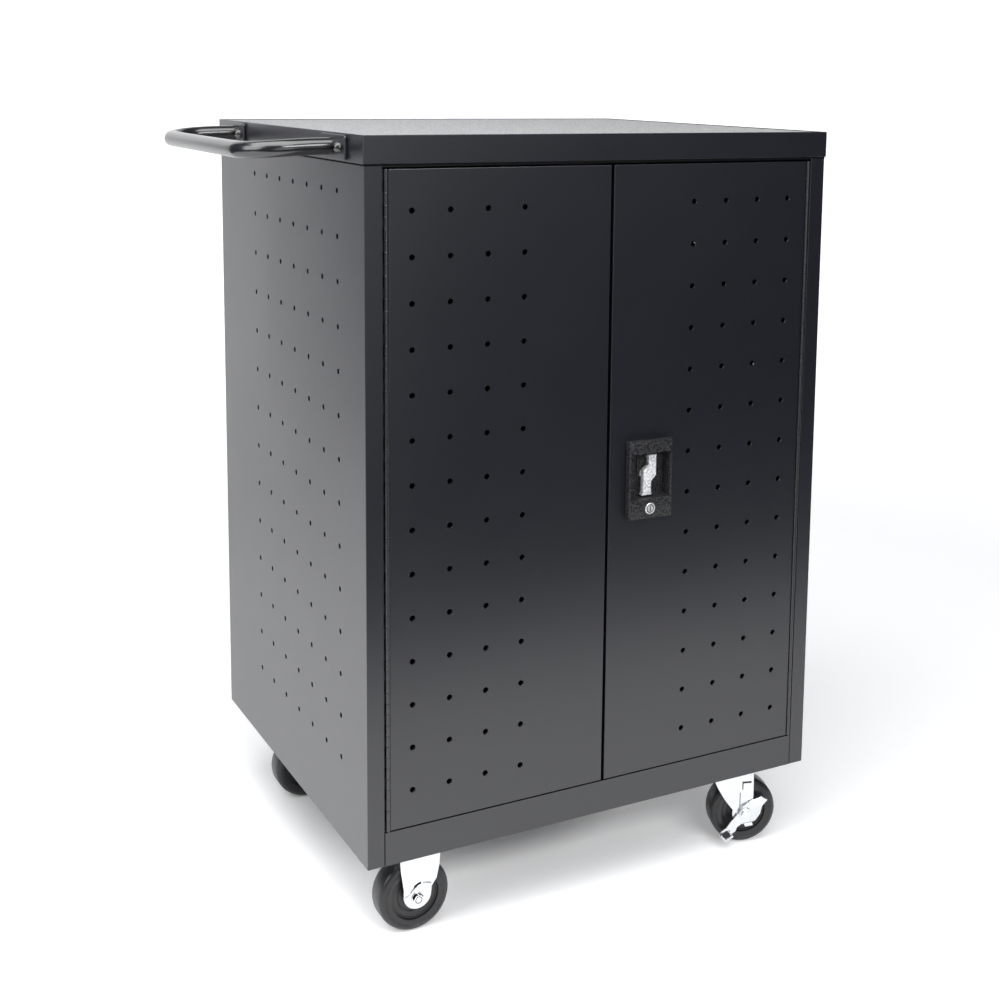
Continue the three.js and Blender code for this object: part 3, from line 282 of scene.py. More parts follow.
def build_pebble_group() -> bpy.types.NodeTree:
    """Rounded pebbles for crinkled and hammered paint: height, and a hollow mask for painted shade.

    Returns:
        The node group.
    """
    made = shader_group(
        "pebble",
        {"Pebble Scale": ("NodeSocketFloat", 500.0), "Warp": ("NodeSocketFloat", 0.0015)},
        {"Height": "NodeSocketFloat", "Hollow": "NodeSocketFloat"},
    )
    source = made.tree.nodes["in"].outputs
    place = made.node("ShaderNodeTexCoord").outputs["Object"]
    bend = made.feed(made.node("ShaderNodeTexNoise"), Vector=place, Scale=source["Pebble Scale"], Detail=2.0)
    shift = made.node("ShaderNodeVectorMath", operation="SCALE")
    made.feed(shift, Vector=bend.outputs["Color"], Scale=source["Warp"])
    moved = made.math("ADD", place, shift.outputs["Vector"], "ShaderNodeVectorMath")
    cells = made.node("ShaderNodeTexVoronoi", feature="SMOOTH_F1")
    made.feed(cells, Vector=moved, Scale=source["Pebble Scale"], Smoothness=0.5)
    hollow = made.feed(
        made.node("ShaderNodeMapRange"), Value=cells.outputs["Distance"], From_Min=0.25, From_Max=0.75
    )
    height = made.math("SUBTRACT", 1.0, cells.outputs["Distance"])
    made.feed(made.tree.nodes["out"], Height=height, Hollow=hollow.outputs["Result"])
    return made.tree


GRAIN = build_grain_group()
PEBBLE = build_pebble_group()


@dataclass(frozen=True)
class Finish:
    """A coat, metal, rubber or plastic with fine grain and a slow change of tone.

    The pebble depth is zero on smooth finishes.
    """

    name: str
    slot: Slot
    colour: Point3
    roughness: float
    metallic: float = 0.0
    specular: float = 0.5
    grain_scale: float = 900.0
    grain_depth: float = 0.05
    tone_scale: float = 6.0
    tone_spread: float = 0.12
    pebble_scale: float = 0.0
    pebble_depth: float = 0.0
    hollow_shade_colour: Point3 = (0.0, 0.0, 0.0)

    def material(self) -> bpy.types.Material:
        """The finish's material, made once.

        Returns:
            The material.
        """
        known = bpy.data.materials.get(self.name)
        if known is not None:
            return known
        made = bpy.data.materials.new(self.name)
        made.use_nodes = True
        tree = NodeTree(made.node_tree)
        shader = tree.node("ShaderNodeBsdfPrincipled")
        tree.feed(tree.node("ShaderNodeOutputMaterial"), Surface=shader.outputs["BSDF"])
        grain = tree.node("ShaderNodeGroup", node_tree=GRAIN)
        tree.feed(
            grain,
            Grain_Scale=self.grain_scale,
            Tone_Scale=self.tone_scale,
            Tone_Low=1.0 - self.tone_spread,
            Tone_High=1.0 + self.tone_spread,
        )
        colour = self._colour(tree, grain.outputs["Tone"])
        rough = tree.math("MULTIPLY", grain.outputs["Tone"], self.roughness)
        bump = tree.node("ShaderNodeBump")
        tree.feed(bump, Strength=self.grain_depth, Distance=GRAIN_HEIGHT, Height=grain.outputs["Height"])
        normal = bump.outputs["Normal"]
        if self.pebble_depth > 0.0:
            relief = tree.feed(
                tree.node("ShaderNodeBump"), Strength=self.pebble_depth, Distance=PEBBLE_HEIGHT,
                Height=self._pebbles(tree).outputs["Height"], Normal=normal,
            )
            normal = relief.outputs["Normal"]
        tree.feed(shader, Base_Color=colour, Roughness=rough, Normal=normal)
        tree.feed(shader, Metallic=self.metallic, Specular_IOR_Level=self.specular)
        made.diffuse_color = (*self.colour, 1.0)
        return made

    def _pebbles(self, tree: NodeTree) -> bpy.types.Node:
        """Places the pebble group with this finish's size."""
        return tree.feed(tree.node("ShaderNodeGroup", node_tree=PEBBLE), Pebble_Scale=self.pebble_scale)

    def _colour(self, tree: NodeTree, tone: bpy.types.NodeSocket) -> bpy.types.NodeSocket:
        """The finish's colour under its slow tone, with painted shade in the hollows of pebbles.

        Args:
            tree: the material's tree.
            tone: the tone to multiply with.

        Returns:
            The colour socket.
        """
        toned = tree.mix(1.0, (*self.colour, 1.0), tone, "MULTIPLY")
        if self.pebble_depth == 0.0:
            return toned
        # Painted shade: the pebbles' hollows take the darker hollow colour.
        return tree.mix(self._pebbles(tree).outputs["Hollow"], toned, (*self.hollow_shade_colour, 1.0))


@dataclass(frozen=True)
class SpeckledMat(Finish):
    """A rubber mat with pale and dark specks."""

    pale: Point3 = (0.45, 0.45, 0.46)
    dark: Point3 = (0.05, 0.05, 0.055)
    speck_scales: Point = (420.0, 588.0)
    speck_starts: Point = (0.56, 0.58)
    speck_edge: float = 0.08

    def _colour(self, tree: NodeTree, tone: bpy.types.NodeSocket) -> bpy.types.NodeSocket:
        """The mat's grey with specks from two noises.

        Args:
            tree: the material's tree.
            tone: the tone to multiply with.

        Returns:
            The colour socket.
        """
        colour = super()._colour(tree, tone)
        place = tree.node("ShaderNodeTexCoord").outputs["Object"]
        for scale, tint, start in zip(self.speck_scales, (self.pale, self.dark), self.speck_starts):
            noise = tree.feed(tree.node("ShaderNodeTexNoise"), Vector=place, Scale=scale, Detail=1.0)
            mask = tree.node("ShaderNodeMapRange")
            tree.feed(mask, Value=noise.outputs["Fac"], From_Min=start, From_Max=start + self.speck_edge)
            colour = tree.mix(mask.outputs["Result"], colour, (*tint, 1.0))
        return colour


COAT = Finish(
    "satin_black_powder_coat", Slot.COAT, (0.0058, 0.0061, 0.0090), 0.30, specular=0.79,
    grain_scale=1100.0, grain_depth=0.09, tone_spread=0.08,
)
TUBE = Finish(
    "smooth_black_tube_paint", Slot.TUBE, (0.009, 0.009, 0.0098), 0.22, specular=0.9,
    grain_scale=500.0, grain_depth=0.03, tone_spread=0.06,
)
# Crinkle and hammered paint carry painted shade in their pebbles' hollows.
CRINKLE = Finish(
    "black_crinkle_paint", Slot.CRINKLE, (0.036, 0.036, 0.039), 0.34, specular=0.3,
    pebble_scale=470.0, pebble_depth=0.6, hollow_shade_colour=(0.002, 0.002, 0.0022),
)
HAMMERED = Finish(
    "silver_hammered_paint", Slot.HAMMERED, (0.94, 0.95, 0.97), 0.24, metallic=0.08, specular=0.8,
    pebble_scale=480.0, pebble_depth=0.6, hollow_shade_colour=(0.42, 0.425, 0.43),
)
MAT = SpeckledMat(
    "grey_speckled_mat", Slot.MAT, (0.165, 0.165, 0.166), 0.46,
    grain_scale=700.0, grain_depth=0.35, tone_spread=0.08,
)
ZINC = Finish(
    "bright_zinc_plate", Slot.ZINC, (0.68, 0.70, 0.72), 0.27, metallic=1.0,
    grain_scale=350.0, grain_depth=0.05, tone_scale=45.0, tone_spread=0.14,
)
CHROME = Finish(
    "nickel_lock_face", Slot.CHROME, (0.68, 0.68, 0.67), 0.32, metallic=0.5,
    grain_scale=300.0, grain_depth=0.02, tone_scale=60.0,
)
RUBBER = Finish(
    "moulded_black_rubber", Slot.RUBBER, (0.012, 0.012, 0.0132), 0.38, specular=0.5,
    grain_scale=650.0, grain_depth=0.1, tone_scale=30.0,
)
PLASTIC = Finish(
    "matte_black_plastic", Slot.PLASTIC, (0.018, 0.018, 0.0186), 0.5,
    grain_scale=1500.0, grain_depth=0.2, tone_spread=0.06,
)
# Near-black, barely glossy finish for pieces that paint the shade in gaps and folds.
SHADE = Finish(
    "painted_shade_black", Slot.PLASTIC, (0.004, 0.004, 0.0042), 0.8, specular=0.08,
    grain_scale=1500.0, tone_spread=0.2,
)


def shade(data: bpy.types.Mesh, angle: float) -> None:
    """Shades the faces that meet under an angle as one.

    Args:
        data: the mesh.
        angle: the angle in degrees, or zero for flat faces.
    """
    if angle > 0.0:
        data.shade_smooth()
        data.set_sharp_from_angle(angle=math.radians(angle))


def add_object(name: str, data: bpy.types.ID) -> bpy.types.Object:
    """Puts data into the scene as an object at the origin.

    Args:
        name: the object's name.
        data: its mesh, light or camera.

    Returns:
        The object.
    """
    made = bpy.data.objects.new(name, data)
    bpy.context.scene.collection.objects.link(made)
    return made


class Build:
    """A mesh under construction, in cabinet millimetres."""

    def __init__(self) -> None:
        """Starts empty."""
        self.mesh = bmesh.new()

    def prism(self, outline: Sequence[Point], axis: Axis, start: float, end: float) -> None:
        """Adds a solid of one outline along an axis.

        Args:
            outline: corners in the two other axes, in X, Y, Z order.
            axis: the axis.
            start: where the solid begins on the axis.
            end: where it ends.
        """
        def place(corner: Point, along: float) -> Vector:
            """One corner at a place on the axis."""
            return at(*on_axis(axis, along, *corner))

        low = [self.mesh.verts.new(place(corner, start)) for corner in outline]
        high = [self.mesh.verts.new(place(corner, end)) for corner in outline]
        self.mesh.faces.new(low[::-1])
        self.mesh.faces.new(high)
        for i in range(len(outline)):
            j = (i + 1) % len(outline)
            self.mesh.faces.new((low[i], low[j], high[j], high[i]))

    def box(self, x: Point, y: Point, z: Point) -> None:
        """Adds a block between two places on each axis."""
        self.prism([(x[0], y[0]), (x[1], y[0]), (x[1], y[1]), (x[0], y[1])], Axis.Z, z[0], z[1])

    def pan(self, x: Point, y: Point, z: Point, wall: float) -> None:
        """Adds a tray whose face is at the lower Y, open at the back.

        Args:
            x: its span along X.
            y: its span along Y.
            z: its span along Z.
            wall: the thickness of its sheet.
        """
        def ring(inset: float, depth: float) -> list[bmesh.types.BMVert]:
            """Four vertices of the tray's outline.

            Args:
                inset: how far in from the outline.
                depth: their place along Y.

            Returns:
                The vertices in order.
            """
            low, high = min(x) + inset, max(x) - inset
            corners = ((low, z[0] + inset), (high, z[0] + inset), (high, z[1] - inset), (low, z[1] - inset))
            return [self.mesh.verts.new(at(u, depth, v)) for u, v in corners]

        loops = [ring(0.0, y[0]), ring(0.0, y[1]), ring(wall, y[1]), ring(wall, y[0] + wall)]
        self.mesh.faces.new(loops[0][::-1])
        self.mesh.faces.new(loops[-1])
        self.bridge(loops)

    def bridge(self, loops: Sequence[Sequence[bmesh.types.BMVert]], closed: bool = False) -> None:
        """Joins loops of equal length by bands of faces.

        Args:
            loops: the loops, in order.
            closed: whether the last loop joins the first.
        """
        pairs = list(zip(loops, loops[1:]))
        if closed:
            pairs.append((loops[-1], loops[0]))
        for one, other in pairs:
            for i in range(len(one)):
                j = (i + 1) % len(one)
                self.mesh.faces.new((one[i], one[j], other[j], other[i]))

    def rim(self, x: Point, y: Point, profile: Sequence[Point]) -> None:
        """Sweeps a closed profile round a rectangle with mitred corners.

        Args:
            x: the rectangle's span along X.
            y: its span along Y.
            profile: inset from the rectangle and height of each corner.
        """
        loops = []
        for inset, height in profile:
            corners = (
                (x[0] + inset, y[0] + inset), (x[1] - inset, y[0] + inset),
                (x[1] - inset, y[1] - inset), (x[0] + inset, y[1] - inset),
            )
            loops.append([self.mesh.verts.new(at(u, v, height)) for u, v in corners])
        self.bridge(loops, closed=True)

    def turned(
        self, profile: Sequence[Point], axis: Axis, centre: Point3, sides: int = 48, closed: bool = True
    ) -> None:
        """Turns a profile round an axis through a centre.

        Args:
            profile: radius and place along the axis of each corner.
            axis: the axis.
            centre: a point on the axis; its place along the axis is the profile's zero.
            sides: facets round the axis.
            closed: whether the profile's ends meet; otherwise they are capped.
        """
        loops = []
        for radius, along in profile:
            loop = []
            for i in range(sides):
                angle = 2.0 * math.pi * i / sides
                shift = on_axis(axis, along, radius * math.cos(angle), radius * math.sin(angle))
                loop.append(self.mesh.verts.new(at(*(c + s for c, s in zip(centre, shift)))))
            loops.append(loop)
        self.bridge(loops, closed)
        if not closed:
            self.mesh.faces.new(loops[0][::-1])
            self.mesh.faces.new(loops[-1])

    def turn(self, axis: Axis, centre: Point3, degrees: float) -> None:
        """Turns the whole mesh.

        Args:
            axis: the axis to turn about.
            centre: a point on it.
            degrees: the angle.
        """
        matrix = Matrix.Rotation(math.radians(degrees), 3, axis.value)
        bmesh.ops.rotate(self.mesh, cent=at(*centre), matrix=matrix, verts=self.mesh.verts[:])

    def soften(self, width: float, segments: int = 2, angle: float = 40.0) -> None:
        """Rounds the sharp edges.

        Args:
            width: the rounding's width in millimetres.
            segments: facets over the rounding.
            angle: the least angle of an edge that is rounded.
        """
        bmesh.ops.recalc_face_normals(self.mesh, faces=self.mesh.faces)
        least = math.radians(angle)
        sharp = [e for e in self.mesh.edges if e.is_manifold and e.calc_face_angle(0.0) > least]
        bmesh.ops.bevel(
            self.mesh, geom=sharp, offset=width / METRE, segments=segments, profile=0.5,
            affect="EDGES", clamp_overlap=True,
        )

    def finish(self, name: str, smooth: float = 0.0) -> bpy.types.Object:
        """Turns the mesh into an object.

        Args:
            name: the object's name.
            smooth: the angle under which faces are shaded as one, or zero for flat faces.

        Returns:
            The object, at the origin.
        """
        bmesh.ops.recalc_face_normals(self.mesh, faces=self.mesh.faces)
        data = bpy.data.meshes.new(name)
        self.mesh.to_mesh(data)
        self.mesh.free()
        shade(data, smooth)
        return add_object(name, data)


def settle(piece: bpy.types.Object, body: str, finish: Finish, nodes: Iterable[str] = ()) -> bpy.types.Object:
    """Gives a piece its finish, its body and the nodes it stands for.

    Args:
        piece: the object.
        body: the CAD body it rides on.
        finish: its finish.
        nodes: the CAD nodes it replaces.

    Returns:
        The same object.
    """
    if not piece.data.materials:
        piece.data.materials.append(finish.material())
    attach(piece, body)
    names = list(nodes)
    if names:
        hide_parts(*names)
    LOG.info("%s rides on %s", piece.name, body)
    return piece


def dress(node: str, finish: Finish, edge: float = 0.0) -> None:
    """Gives a CAD node its finish, and rounds its edges.

    Args:
        node: the CAD node.
        finish: its finish.
        edge: the rounding's width in millimetres, or zero for none.
    """
    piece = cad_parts[node]
    piece.data.materials.clear()
    piece.data.materials.append(finish.material())
    if edge > 0.0:
        bevel = piece.modifiers.new("edge", "BEVEL")
        bevel.width = edge / METRE
        bevel.segments = 2
        bevel.limit_method = "ANGLE"
        bevel.angle_limit = math.radians(50.0)
    LOG.info("%s dressed", node)


class NodesShape:
    """A Geometry Nodes tree with named inputs, run on an object and turned into a plain mesh."""

    def __init__(self, name: str, inputs: dict[str, tuple[str, object]]) -> None:
        """Starts the tree.

        Args:
            name: the tree's name.
            inputs: socket name to its type and default value.
        """
        group = bpy.data.node_groups.new(name, "GeometryNodeTree")
        group.interface.new_socket("Geometry", in_out="INPUT", socket_type="NodeSocketGeometry")
        self.keys: dict[str, str] = {}
        for label, (kind, value) in inputs.items():
            socket = group.interface.new_socket(label, in_out="INPUT", socket_type=kind)
            if value is not None:
                socket.default_value = value
            self.keys[label] = socket.identifier
        group.interface.new_socket("Geometry", in_out="OUTPUT", socket_type="NodeSocketGeometry")
        self.build = NodeTree(group)
        self.source = self.build.node("NodeGroupInput").outputs
        self.group = group

    def close(self, shape: bpy.types.NodeSocket) -> None:
        """Ends the tree: realizes the instances and sets the material.

        Args:
            shape: the finished shape's socket.
        """
        real = self.build.feed(self.build.node("GeometryNodeRealizeInstances"), Geometry=shape)
        dressed = self.build.node("GeometryNodeSetMaterial")
        self.build.feed(dressed, Geometry=real.outputs["Geometry"], Material=self.source["Finish"])
        self.build.feed(self.build.node("NodeGroupOutput"), Geometry=dressed.outputs["Geometry"])

    def run(
        self, piece: bpy.types.Object, values: dict[str, object], smooth: float = 0.0
    ) -> bpy.types.Object:
        """Runs the tree on an object and keeps the result as a plain mesh.

        Args:
            piece: the object.
            values: input name to its value.
            smooth: the angle under which faces are shaded as one, or zero for flat faces.

        Returns:
            The same object with its new mesh.
        """
        modifier = piece.modifiers.new(self.group.name, "NODES")
        modifier.node_group = self.group
        for label, value in values.items():
            modifier[self.keys[label]] = value
        seen = bpy.context.evaluated_depsgraph_get()
        data = bpy.data.meshes.new_from_object(piece.evaluated_get(seen))
        piece.modifiers.remove(modifier)
        old = piece.data
        piece.data = data
        data.name = piece.name
        bpy.data.meshes.remove(old)
        shade(data, smooth)
        return piece


def vent_tree() -> NodesShape:
    """Round flared vent holes on a grid, cut out of a sheet.

    Returns:
        The tree, with the grid's plane given by a turn and a middle.
    """
    shape = NodesShape(
        "vent_holes",
        {
            "Columns": ("NodeSocketInt", 4),
            "Rows": ("NodeSocketInt", 14),
            "Width": ("NodeSocketFloat", 0.1),
            "Height": ("NodeSocketFloat", 0.6),
            "Outer": ("NodeSocketFloat", 0.005),
            "Inner": ("NodeSocketFloat", 0.001),
            "Turn": ("NodeSocketVector", (0.0, 0.0, 0.0)),
            "Middle": ("NodeSocketVector", (0.0, 0.0, 0.0)),
            "Finish": ("NodeSocketMaterial", None),
        },
    )
    build, source = shape.build, shape.source
    grid = build.feed(
        build.node("GeometryNodeMeshGrid"),
        Size_X=source["Width"], Size_Y=source["Height"],
        Vertices_X=source["Columns"], Vertices_Y=source["Rows"],
    )
    cone = build.feed(
        build.node("GeometryNodeMeshCone"),
        Vertices=24, Radius_Top=source["Outer"], Radius_Bottom=source["Inner"], Depth=2.0 * VENT_REACH,
    )
    punch = build.moved(cone.outputs["Mesh"], Translation=(0.0, 0.0, -VENT_REACH))
    copies = build.copies(grid.outputs["Mesh"], punch)
    punches = build.feed(build.node("GeometryNodeRealizeInstances"), Geometry=copies)
    placed = build.moved(punches.outputs["Geometry"], Translation=source["Middle"], Rotation=source["Turn"])
    shape.close(build.cut(source["Geometry"], placed))
    return shape


def vent_values(
    count: tuple[int, int], pitch: Point, radii: Point, turn: Point3, middle: Vector
) -> dict[str, object]:
    """The vent tree's inputs for one sheet.

    Args:
        count: how many holes along the grid's width and height.
        pitch: their spacing both ways, in millimetres.
        radii: the punches' radius at the outer and the inner end, in millimetres.
        turn: the turn of the grid's plane.
        middle: the grid's middle.

    Returns:
        Input name to its value.
    """
    return {
        "Columns": count[0],
        "Rows": count[1],
        "Width": pitch[0] * (count[0] - 1) / METRE,
        "Height": pitch[1] * (count[1] - 1) / METRE,
        "Outer": radii[0] / METRE,
        "Inner": radii[1] / METRE,
        "Turn": turn,
        "Middle": tuple(middle),
        "Finish": COAT.material(),
    }


def window_tree() -> NodesShape:
    """One square window cut out of a sheet.

    Returns:
        The tree.
    """
    shape = NodesShape(
        "square_window",
        {
            "Size": ("NodeSocketVector", (0.01, 0.01, 0.01)),
            "Middle": ("NodeSocketVector", (0.0, 0.0, 0.0)),
            "Finish": ("NodeSocketMaterial", None),
        },
    )
    build, source = shape.build, shape.source
    window = build.feed(build.node("GeometryNodeMeshCube"), Size=source["Size"])
    framed = build.moved(window.outputs["Mesh"], Translation=source["Middle"])
    shape.close(build.cut(source["Geometry"], framed))
    return shape


def knuckle_tree() -> NodesShape:
    """A row of hinge knuckles joined to the leaf that the object brings.

    Returns:
        The tree.
    """
    shape = NodesShape(
        "hinge_knuckles",
        {
            "Count": ("NodeSocketInt", 30),
            "Pitch": ("NodeSocketFloat", 0.0254),
            "Length": ("NodeSocketFloat", 0.0124),
            "Radius": ("NodeSocketFloat", 0.0024),
            "Start": ("NodeSocketVector", (0.0, 0.0, 0.0)),
            "Finish": ("NodeSocketMaterial", None),
        },
    )
    build, source = shape.build, shape.source
    step = build.feed(build.node("ShaderNodeCombineXYZ"), Z=source["Pitch"])
    row = build.node("GeometryNodeMeshLine", mode="OFFSET")
    build.feed(row, Count=source["Count"], Start_Location=source["Start"], Offset=step.outputs["Vector"])
    barrel = build.node("GeometryNodeMeshCylinder")
    build.feed(barrel, Vertices=20, Radius=source["Radius"], Depth=source["Length"])
    copies = build.copies(row.outputs["Mesh"], barrel.outputs["Mesh"])
    shape.close(build.join(source["Geometry"], copies))
    return shape


def tube_tree() -> NodesShape:
    """A round tube along the path that the object brings.

    Returns:
        The tree.
    """
    shape = NodesShape(
        "bent_tube",
        {
            "Radius": ("NodeSocketFloat", 0.0095),
            "Sides": ("NodeSocketInt", 40),
            "Finish": ("NodeSocketMaterial", None),
        },
    )
    build, source = shape.build, shape.source
    path = build.feed(build.node("GeometryNodeMeshToCurve"), Mesh=source["Geometry"])
    ring = build.node("GeometryNodeCurvePrimitiveCircle", mode="RADIUS")
    build.feed(ring, Resolution=source["Sides"], Radius=source["Radius"])
    swept = build.node("GeometryNodeCurveToMesh")
    build.feed(swept, Curve=path.outputs["Curve"], Profile_Curve=ring.outputs["Curve"], Fill_Caps=True)
    shape.close(swept.outputs["Mesh"])
    return shape


def bolt_tree() -> NodesShape:
    """Bolt heads with a hexagon socket and a washer, one at each point that the object brings.

    Returns:
        The tree, with the heads' axis given by a turn.
    """
    shape = NodesShape(
        "bolt_heads",
        {
            "Radius": ("NodeSocketFloat", 0.0055),
            "Height": ("NodeSocketFloat", 0.004),
            "Turn": ("NodeSocketVector", (0.0, 0.0, 0.0)),
            "Finish": ("NodeSocketMaterial", None),
        },
    )
    build, radius, height = shape.build, shape.source["Radius"], shape.source["Height"]

    def barrel(sides: int, width: float, depth: float) -> bpy.types.NodeSocket:
        """A cylinder sized by the head.

        Args:
            sides: facets round it.
            width: its radius as a share of the head's radius.
            depth: its length as a share of the head's height.

        Returns:
            The mesh's socket.
        """
        wide, deep = build.math("MULTIPLY", radius, width), build.math("MULTIPLY", height, depth)
        made = build.feed(build.node("GeometryNodeMeshCylinder"), Vertices=sides, Radius=wide, Depth=deep)
        return made.outputs["Mesh"]

    dome = build.feed(build.node("GeometryNodeMeshUVSphere"), Segments=28, Rings=14, Radius=radius)
    ratio = build.math("DIVIDE", height, radius)
    flat = build.feed(build.node("ShaderNodeCombineXYZ"), X=1.0, Y=1.0, Z=ratio)
    pressed = build.moved(dome.outputs["Mesh"], Scale=flat.outputs["Vector"])
    lift = build.feed(build.node("ShaderNodeCombineXYZ"), Z=height)
    raised = build.moved(barrel(6, 0.42, 1.3), Translation=lift.outputs["Vector"])
    head = build.join(build.cut(pressed, raised), barrel(28, 1.18, 0.3))
    turned = build.moved(head, Rotation=shape.source["Turn"])
    shape.close(build.copies(shape.source["Geometry"], turned))
    return shape


def points_object(name: str, places: Sequence[Point3], joined: bool = False) -> bpy.types.Object:
    """An object of bare vertices, or of one path.

    Args:
        name: the object's name.
        places: the points, in cabinet millimetres.
        joined: whether edges join them in order.

    Returns:
        The object.
    """
    data = bpy.data.meshes.new(name)
    edges = [(i, i + 1) for i in range(len(places) - 1)] if joined else []
    data.from_pydata([tuple(at(*p)) for p in places], edges, [])
    return add_object(name, data)


def round_outline(width: float, height: float, radius: float, centre: Point, steps: int = 6) -> list[Point]:
    """A rectangle with round corners.

    Args:
        width: its size along the first axis.
        height: its size along the second axis.
        radius: the corners' radius.
        centre: its middle.
        steps: facets on each corner.

    Returns:
        The corners in order.
    """
    found = []
    for quarter, (u, v) in enumerate(((1, 1), (-1, 1), (-1, -1), (1, -1))):
        middle = (centre[0] + u * (width / 2 - radius), centre[1] + v * (height / 2 - radius))
        for i in range(steps + 1):
            angle = math.pi / 2 * (quarter + i / steps)
            found.append((middle[0] + radius * math.cos(angle), middle[1] + radius * math.sin(angle)))
    return found


def arc(centre: Point, radius: float, start: float, end: float, steps: int = 12) -> list[Point]:
    """Points on an arc, with angles in degrees."""
    angles = [math.radians(start + (end - start) * i / steps) for i in range(steps + 1)]
    return [(centre[0] + radius * math.cos(a), centre[1] + radius * math.sin(a)) for a in angles]


def shifted(outline: Sequence[Point], u: float, v: float) -> list[Point]:
    """An outline moved along both axes."""
    return [(u + a, v + b) for a, b in outline]


def bolt_heads(
    name: str, places: Sequence[Point3], bolts: NodesShape, head: Point, turn: Point3, finish: Finish
) -> bpy.types.Object:
    """One object of bolt heads.

    Args:
        name: the object's name.
        places: where the heads sit, in cabinet millimetres.
        bolts: the tree that makes them.
        head: their radius and height in millimetres.
        turn: the turn of their axis.
        finish: their finish.

    Returns:
        The object.
    """
    values = {"Radius": head[0] / METRE, "Height": head[1] / METRE, "Turn": turn, "Finish": finish.material()}
    return bolts.run(points_object(name, places), values, smooth=35.0)


@dataclass
class Cabinet:
    """The steel body: side walls with vent holes, lid, mat, pan, header and back."""

    width: float = 609.6
    depth: float = 533.4
    height: float = 796.0
    sheet: float = 1.5
    strip: float = 20.5
    strip_return: float = 22.0
    rear_flange: float = 20.0
    flange_back: float = 530.1
    side_top: float = 821.8
    door_bottom: float = 41.5
    lid_top: float = 826.8
    lid_lip: float = 1.5
    lid_sheet: float = 1.2
    lid_rim: float = 3.0
    lid_gap: float = 2.2
    deck: float = 823.3
    mat_top: float = 826.0
    vent_radius: float = 3.25
    vent_flare: float = 2.4
    vent_pitch: Point = (50.1, 50.8)
    vent_count: tuple[int, int] = (7, 14)
    vent_first: Point = (82.8, 102.0)

    def build(self, vents: NodesShape) -> None:
        """Builds the walls, the lid and the mat, and dresses the plain sheets.

        Args:
            vents: the tree that cuts the vent holes.
        """
        for side in Side:
            self.build_wall(side, vents)
        self.build_lid()
        self.build_gap_shades()
        self.build_mat()
        for node in ("back_panel", "bottom_pan", "header_rail"):
            dress(node, COAT, 0.5)

    def build_wall(self, side: Side, vents: NodesShape) -> None:
        """Builds one side wall with its front strip, and cuts its vent holes.

        Args:
            side: which end.
            vents: the tree that cuts the holes.
        """
        strip, sheet, flange, back = self.strip, self.sheet, self.rear_flange, self.flange_back
        folds = [
            (0.0, 0.0), (strip, 0.0), (strip, sheet), (sheet, sheet), (sheet, back), (flange, back),
            (flange, back + sheet), (sheet, back + sheet), (sheet, self.depth), (0.0, self.depth),
        ]
        blank = Build()
        blank.prism([(across(side, inset, self.width), y) for inset, y in folds], Axis.Z, 0.0, self.side_top)
        blank.soften(0.5)
        wall = blank.finish(f"{side.value}_wall")
        columns, rows = self.vent_count
        middle = at(
            across(side, sheet / 2, self.width),
            self.vent_first[0] + self.vent_pitch[0] * (columns - 1) / 2,
            self.vent_first[1] + self.vent_pitch[1] * (rows - 1) / 2,
        )
        radii, turn = (self.vent_radius, self.vent_radius), (0.0, math.pi / 2, 0.0)
        vents.run(wall, vent_values((rows, columns), self.vent_pitch[::-1], radii, turn, middle))
        settle(wall, "cart", COAT, [f"{side.value}_side_panel"])
        fold = Build()
        edge = between(side, strip - sheet, strip, self.width)
        fold.box(edge, (sheet - 0.2, self.strip_return), (self.door_bottom, self.side_top))
        settle(fold.finish(f"{side.value}_wall_return"), "cart", COAT)

    def build_lid(self) -> None:
        """Builds the lid with its thin rim and its deck."""
        lid = Build()
        grow, rim, sheet, under = self.lid_lip, self.lid_rim, self.lid_sheet, self.deck - self.lid_sheet
        profile = [
            (0.0, self.height), (0.0, self.lid_top), (rim, self.lid_top),
            (rim, under), (sheet, under), (sheet, self.height),
        ]
        lid.rim((-grow, self.width + grow), (-grow, self.depth + grow), profile)
        lid.soften(0.7, 3)
        inset = rim - 0.2 - grow
        lid.box((inset, self.width - inset), (inset, self.depth - inset), (under, self.deck))
        settle(lid.finish("lid"), "cart", COAT, ["top_lid"])

    def build_gap_shades(self) -> None:
        """Builds painted shade in the gaps under the lid and at the sill's ends, as near-black bands."""
        # Painted shade: a near-black band under the lid's edge stands in for the shade in the gap there.
        joint = Build()
        low, high = self.height - self.lid_gap, self.height + 0.5
        section = [(-0.25, low), (-0.25, high), (0.6, high), (0.6, low)]
        joint.rim((0.0, self.width), (0.0, self.depth), section)
        settle(joint.finish("lid_gap_shade"), "cart", SHADE)
        for side in Side:
            # Painted shade: a near-black strip at each sill end stands in for the shade in the gap beside the
            # front strip.
            seam = Build()
            ends = between(side, self.strip - 0.1, self.strip + 0.8, self.width)
            seam.box(ends, (-0.12, 0.4), (0.4, self.door_bottom - 0.4))
            settle(seam.finish(f"{side.value}_sill_gap_shade"), "cart", SHADE)

    def build_mat(self) -> None:
        """Builds the mat inside the lid's rim."""
        mat = Build()
        inset = self.lid_rim - self.lid_lip + 0.5
        mat.box((inset, self.width - inset), (inset, self.depth - inset), (self.deck + 0.2, self.mat_top))
        mat.soften(0.6, 3)
        settle(mat.finish("top_mat_sheet"), "cart", MAT, ["top_mat"])


